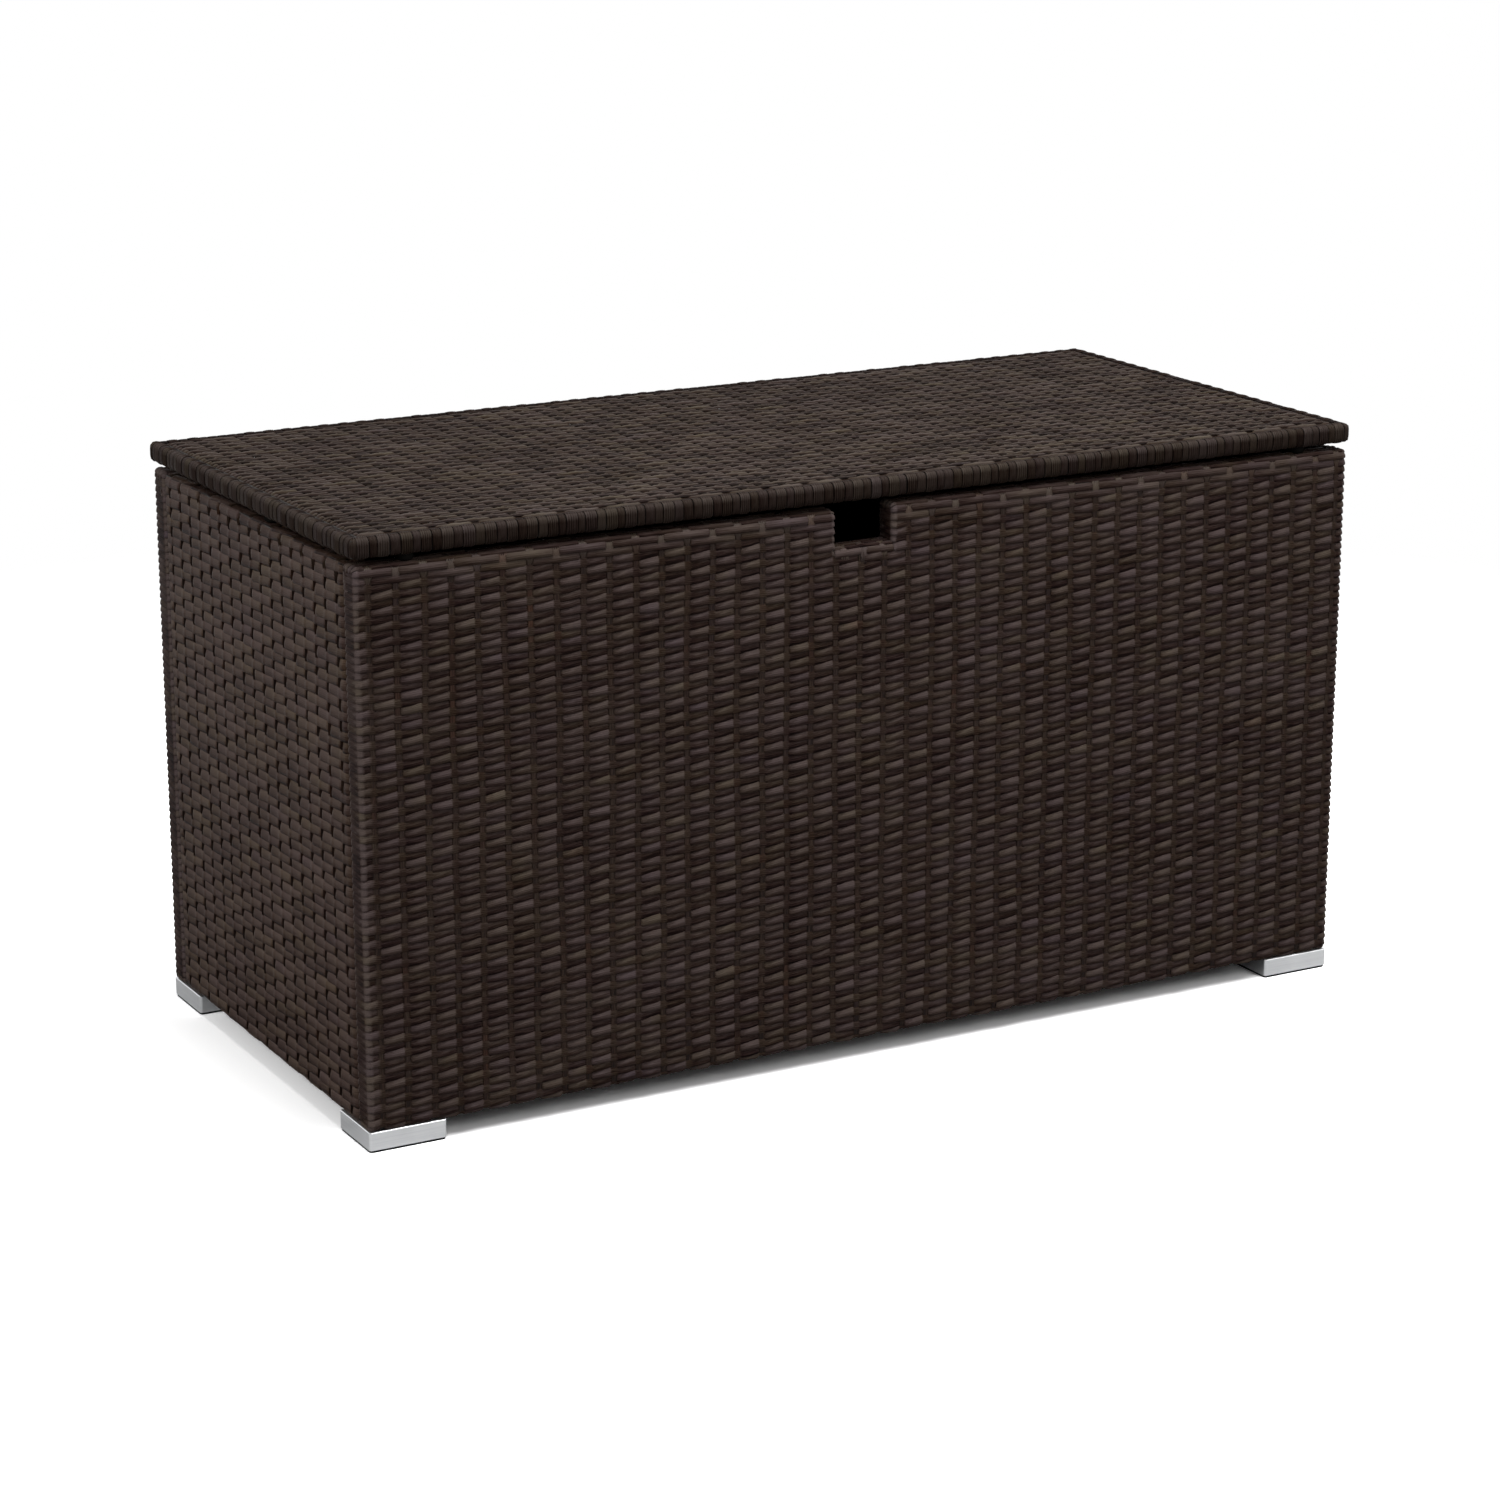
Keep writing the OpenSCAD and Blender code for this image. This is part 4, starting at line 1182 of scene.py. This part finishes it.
def floor_material():
    """Pale and matt under the chest, and clear further out."""
    material, net, shader = new_material("Floor")
    material.node_tree.nodes.remove(shader)
    x, y = net.parts(net.result("ShaderNodeTexCoord", None, "Object"))[:2]
    fade = net.clamp((net.math("SQRT", x * x + y * y) - FADE_START) / FADE_WIDTH)
    seen = net.result("ShaderNodeLightPath", None, "Is Camera Ray")
    pale = net.blend(FLOOR_SHADE, FLOOR_SHADE_SEEN, seen)
    matt = net.result("ShaderNodeBsdfDiffuse", {"Color": net.vector(pale, pale, pale)})
    clear = net.result("ShaderNodeBsdfTransparent")
    mixed = net.result("ShaderNodeMixShader", {0: fade, 1: matt, 2: clear})
    net.fill(material.node_tree.nodes["Material Output"], {"Surface": mixed})
    return material


class CHEST_OT_stage(bpy.types.Operator):
    """Sets the floor, lamps and camera"""

    bl_idname = "chest.stage"
    bl_label = "Set Stage"

    def execute(self, context):
        scene = context.scene
        settings = scene.chest_stage
        scene.view_settings.view_transform = "Standard"
        self.world(scene)
        self.floor(scene)
        for name, key, place, width in LAMPS:
            self.lamp(scene, name, place, width, getattr(settings, key))
        self.camera(scene, settings)
        return {"FINISHED"}

    def world(self, scene):
        """A dim white sky that looks white itself and in reflections."""
        world = bpy.data.worlds.new("Studio")
        scene.world = world
        world.use_nodes = True
        net = Net(world.node_tree)
        rays = net.node("ShaderNodeLightPath")
        seen = net.most(net.out(rays, "Is Camera Ray"), net.out(rays, "Is Glossy Ray"))
        seen = net.most(seen, net.out(rays, "Is Transmission Ray"))
        sky = {"Color": (1.0, 1.0, 1.0, 1.0), "Strength": net.blend(SKY_STRENGTH, 1.0, seen)}
        net.fill(world.node_tree.nodes["Background"], sky)

    def floor(self, scene):
        """A wide pale floor that keeps the shadow and fades into the background."""
        turns = [2 * math.pi * i / FLOOR_SIDES for i in range(FLOOR_SIDES)]
        rim = [(FLOOR_RADIUS * math.cos(turn), FLOOR_RADIUS * math.sin(turn), 0.0) for turn in turns]
        mesh = bpy.data.meshes.new("floor")
        mesh.from_pydata(rim, [], [range(FLOOR_SIDES)])
        mesh.materials.append(floor_material())
        floor = bpy.data.objects.new("floor", mesh)
        scene.collection.objects.link(floor)

    def lamp(self, scene, name, place, width, watts):
        lamp = bpy.data.lights.new(name, "AREA")
        lamp.shape = "DISK"
        lamp.size = width
        lamp.energy = watts
        self.stand(scene, name, lamp, place, LAMP_AIM - Vector(place))

    def camera(self, scene, settings):
        camera = bpy.data.cameras.new("Camera")
        camera.sensor_width = SENSOR_WIDTH
        camera.lens = settings.lens
        level = math.cos(settings.pitch)
        ahead = Vector((
            math.sin(settings.yaw) * level, math.cos(settings.yaw) * level, -math.sin(settings.pitch),
        ))
        scene.camera = self.stand(scene, "Camera", camera, settings.camera, ahead)

    def stand(self, scene, name, data, place, ahead):
        """Puts a lamp or the camera in its place, looking ahead."""
        made = bpy.data.objects.new(name, data)
        made.location = tuple(place)
        made.rotation_euler = ahead.to_track_quat("-Z", "Y").to_euler()
        scene.collection.objects.link(made)
        return made


# ------------------------------------------------------------------ panel and registration


OPERATORS = (
    CHEST_OT_frames, CHEST_OT_front_wall, CHEST_OT_back_wall, CHEST_OT_end_walls, CHEST_OT_floor_panel,
    CHEST_OT_lid_top, CHEST_OT_lid_edge, CHEST_OT_feet, CHEST_OT_fittings, CHEST_OT_stage,
)
SETTINGS = (
    ("chest_walls", WallWeaveSettings), ("chest_ends", SideWeaveSettings), ("chest_lid", LidWeaveSettings),
    ("chest_finish", FinishSettings), ("chest_stage", StageSettings),
)


class CHEST_PT_sidebar(bpy.types.Panel):
    """Lists the settings and the steps that build the chest."""

    bl_label = "Woven Chest"
    bl_idname = "CHEST_PT_sidebar"
    bl_space_type = "VIEW_3D"
    bl_region_type = "UI"
    bl_category = "Chest"

    def draw(self, context):
        layout = self.layout
        for name, group in SETTINGS:
            box = layout.box()
            for key in group.__annotations__:
                box.prop(getattr(context.scene, name), key)
        for operator in OPERATORS:
            layout.operator(operator.bl_idname)


def register():
    for name, group in SETTINGS:
        bpy.utils.register_class(group)
        setattr(bpy.types.Scene, name, PointerProperty(type=group))
    for operator in OPERATORS:
        bpy.utils.register_class(operator)
    bpy.utils.register_class(CHEST_PT_sidebar)


def unregister():
    bpy.utils.unregister_class(CHEST_PT_sidebar)
    for operator in reversed(OPERATORS):
        bpy.utils.unregister_class(operator)
    for name, group in reversed(SETTINGS):
        delattr(bpy.types.Scene, name)
        bpy.utils.unregister_class(group)


def main():
    register()
    for operator in OPERATORS:
        family, action = operator.bl_idname.split(".")
        getattr(getattr(bpy.ops, family), action)()


if __name__ == "__main__":
    main()
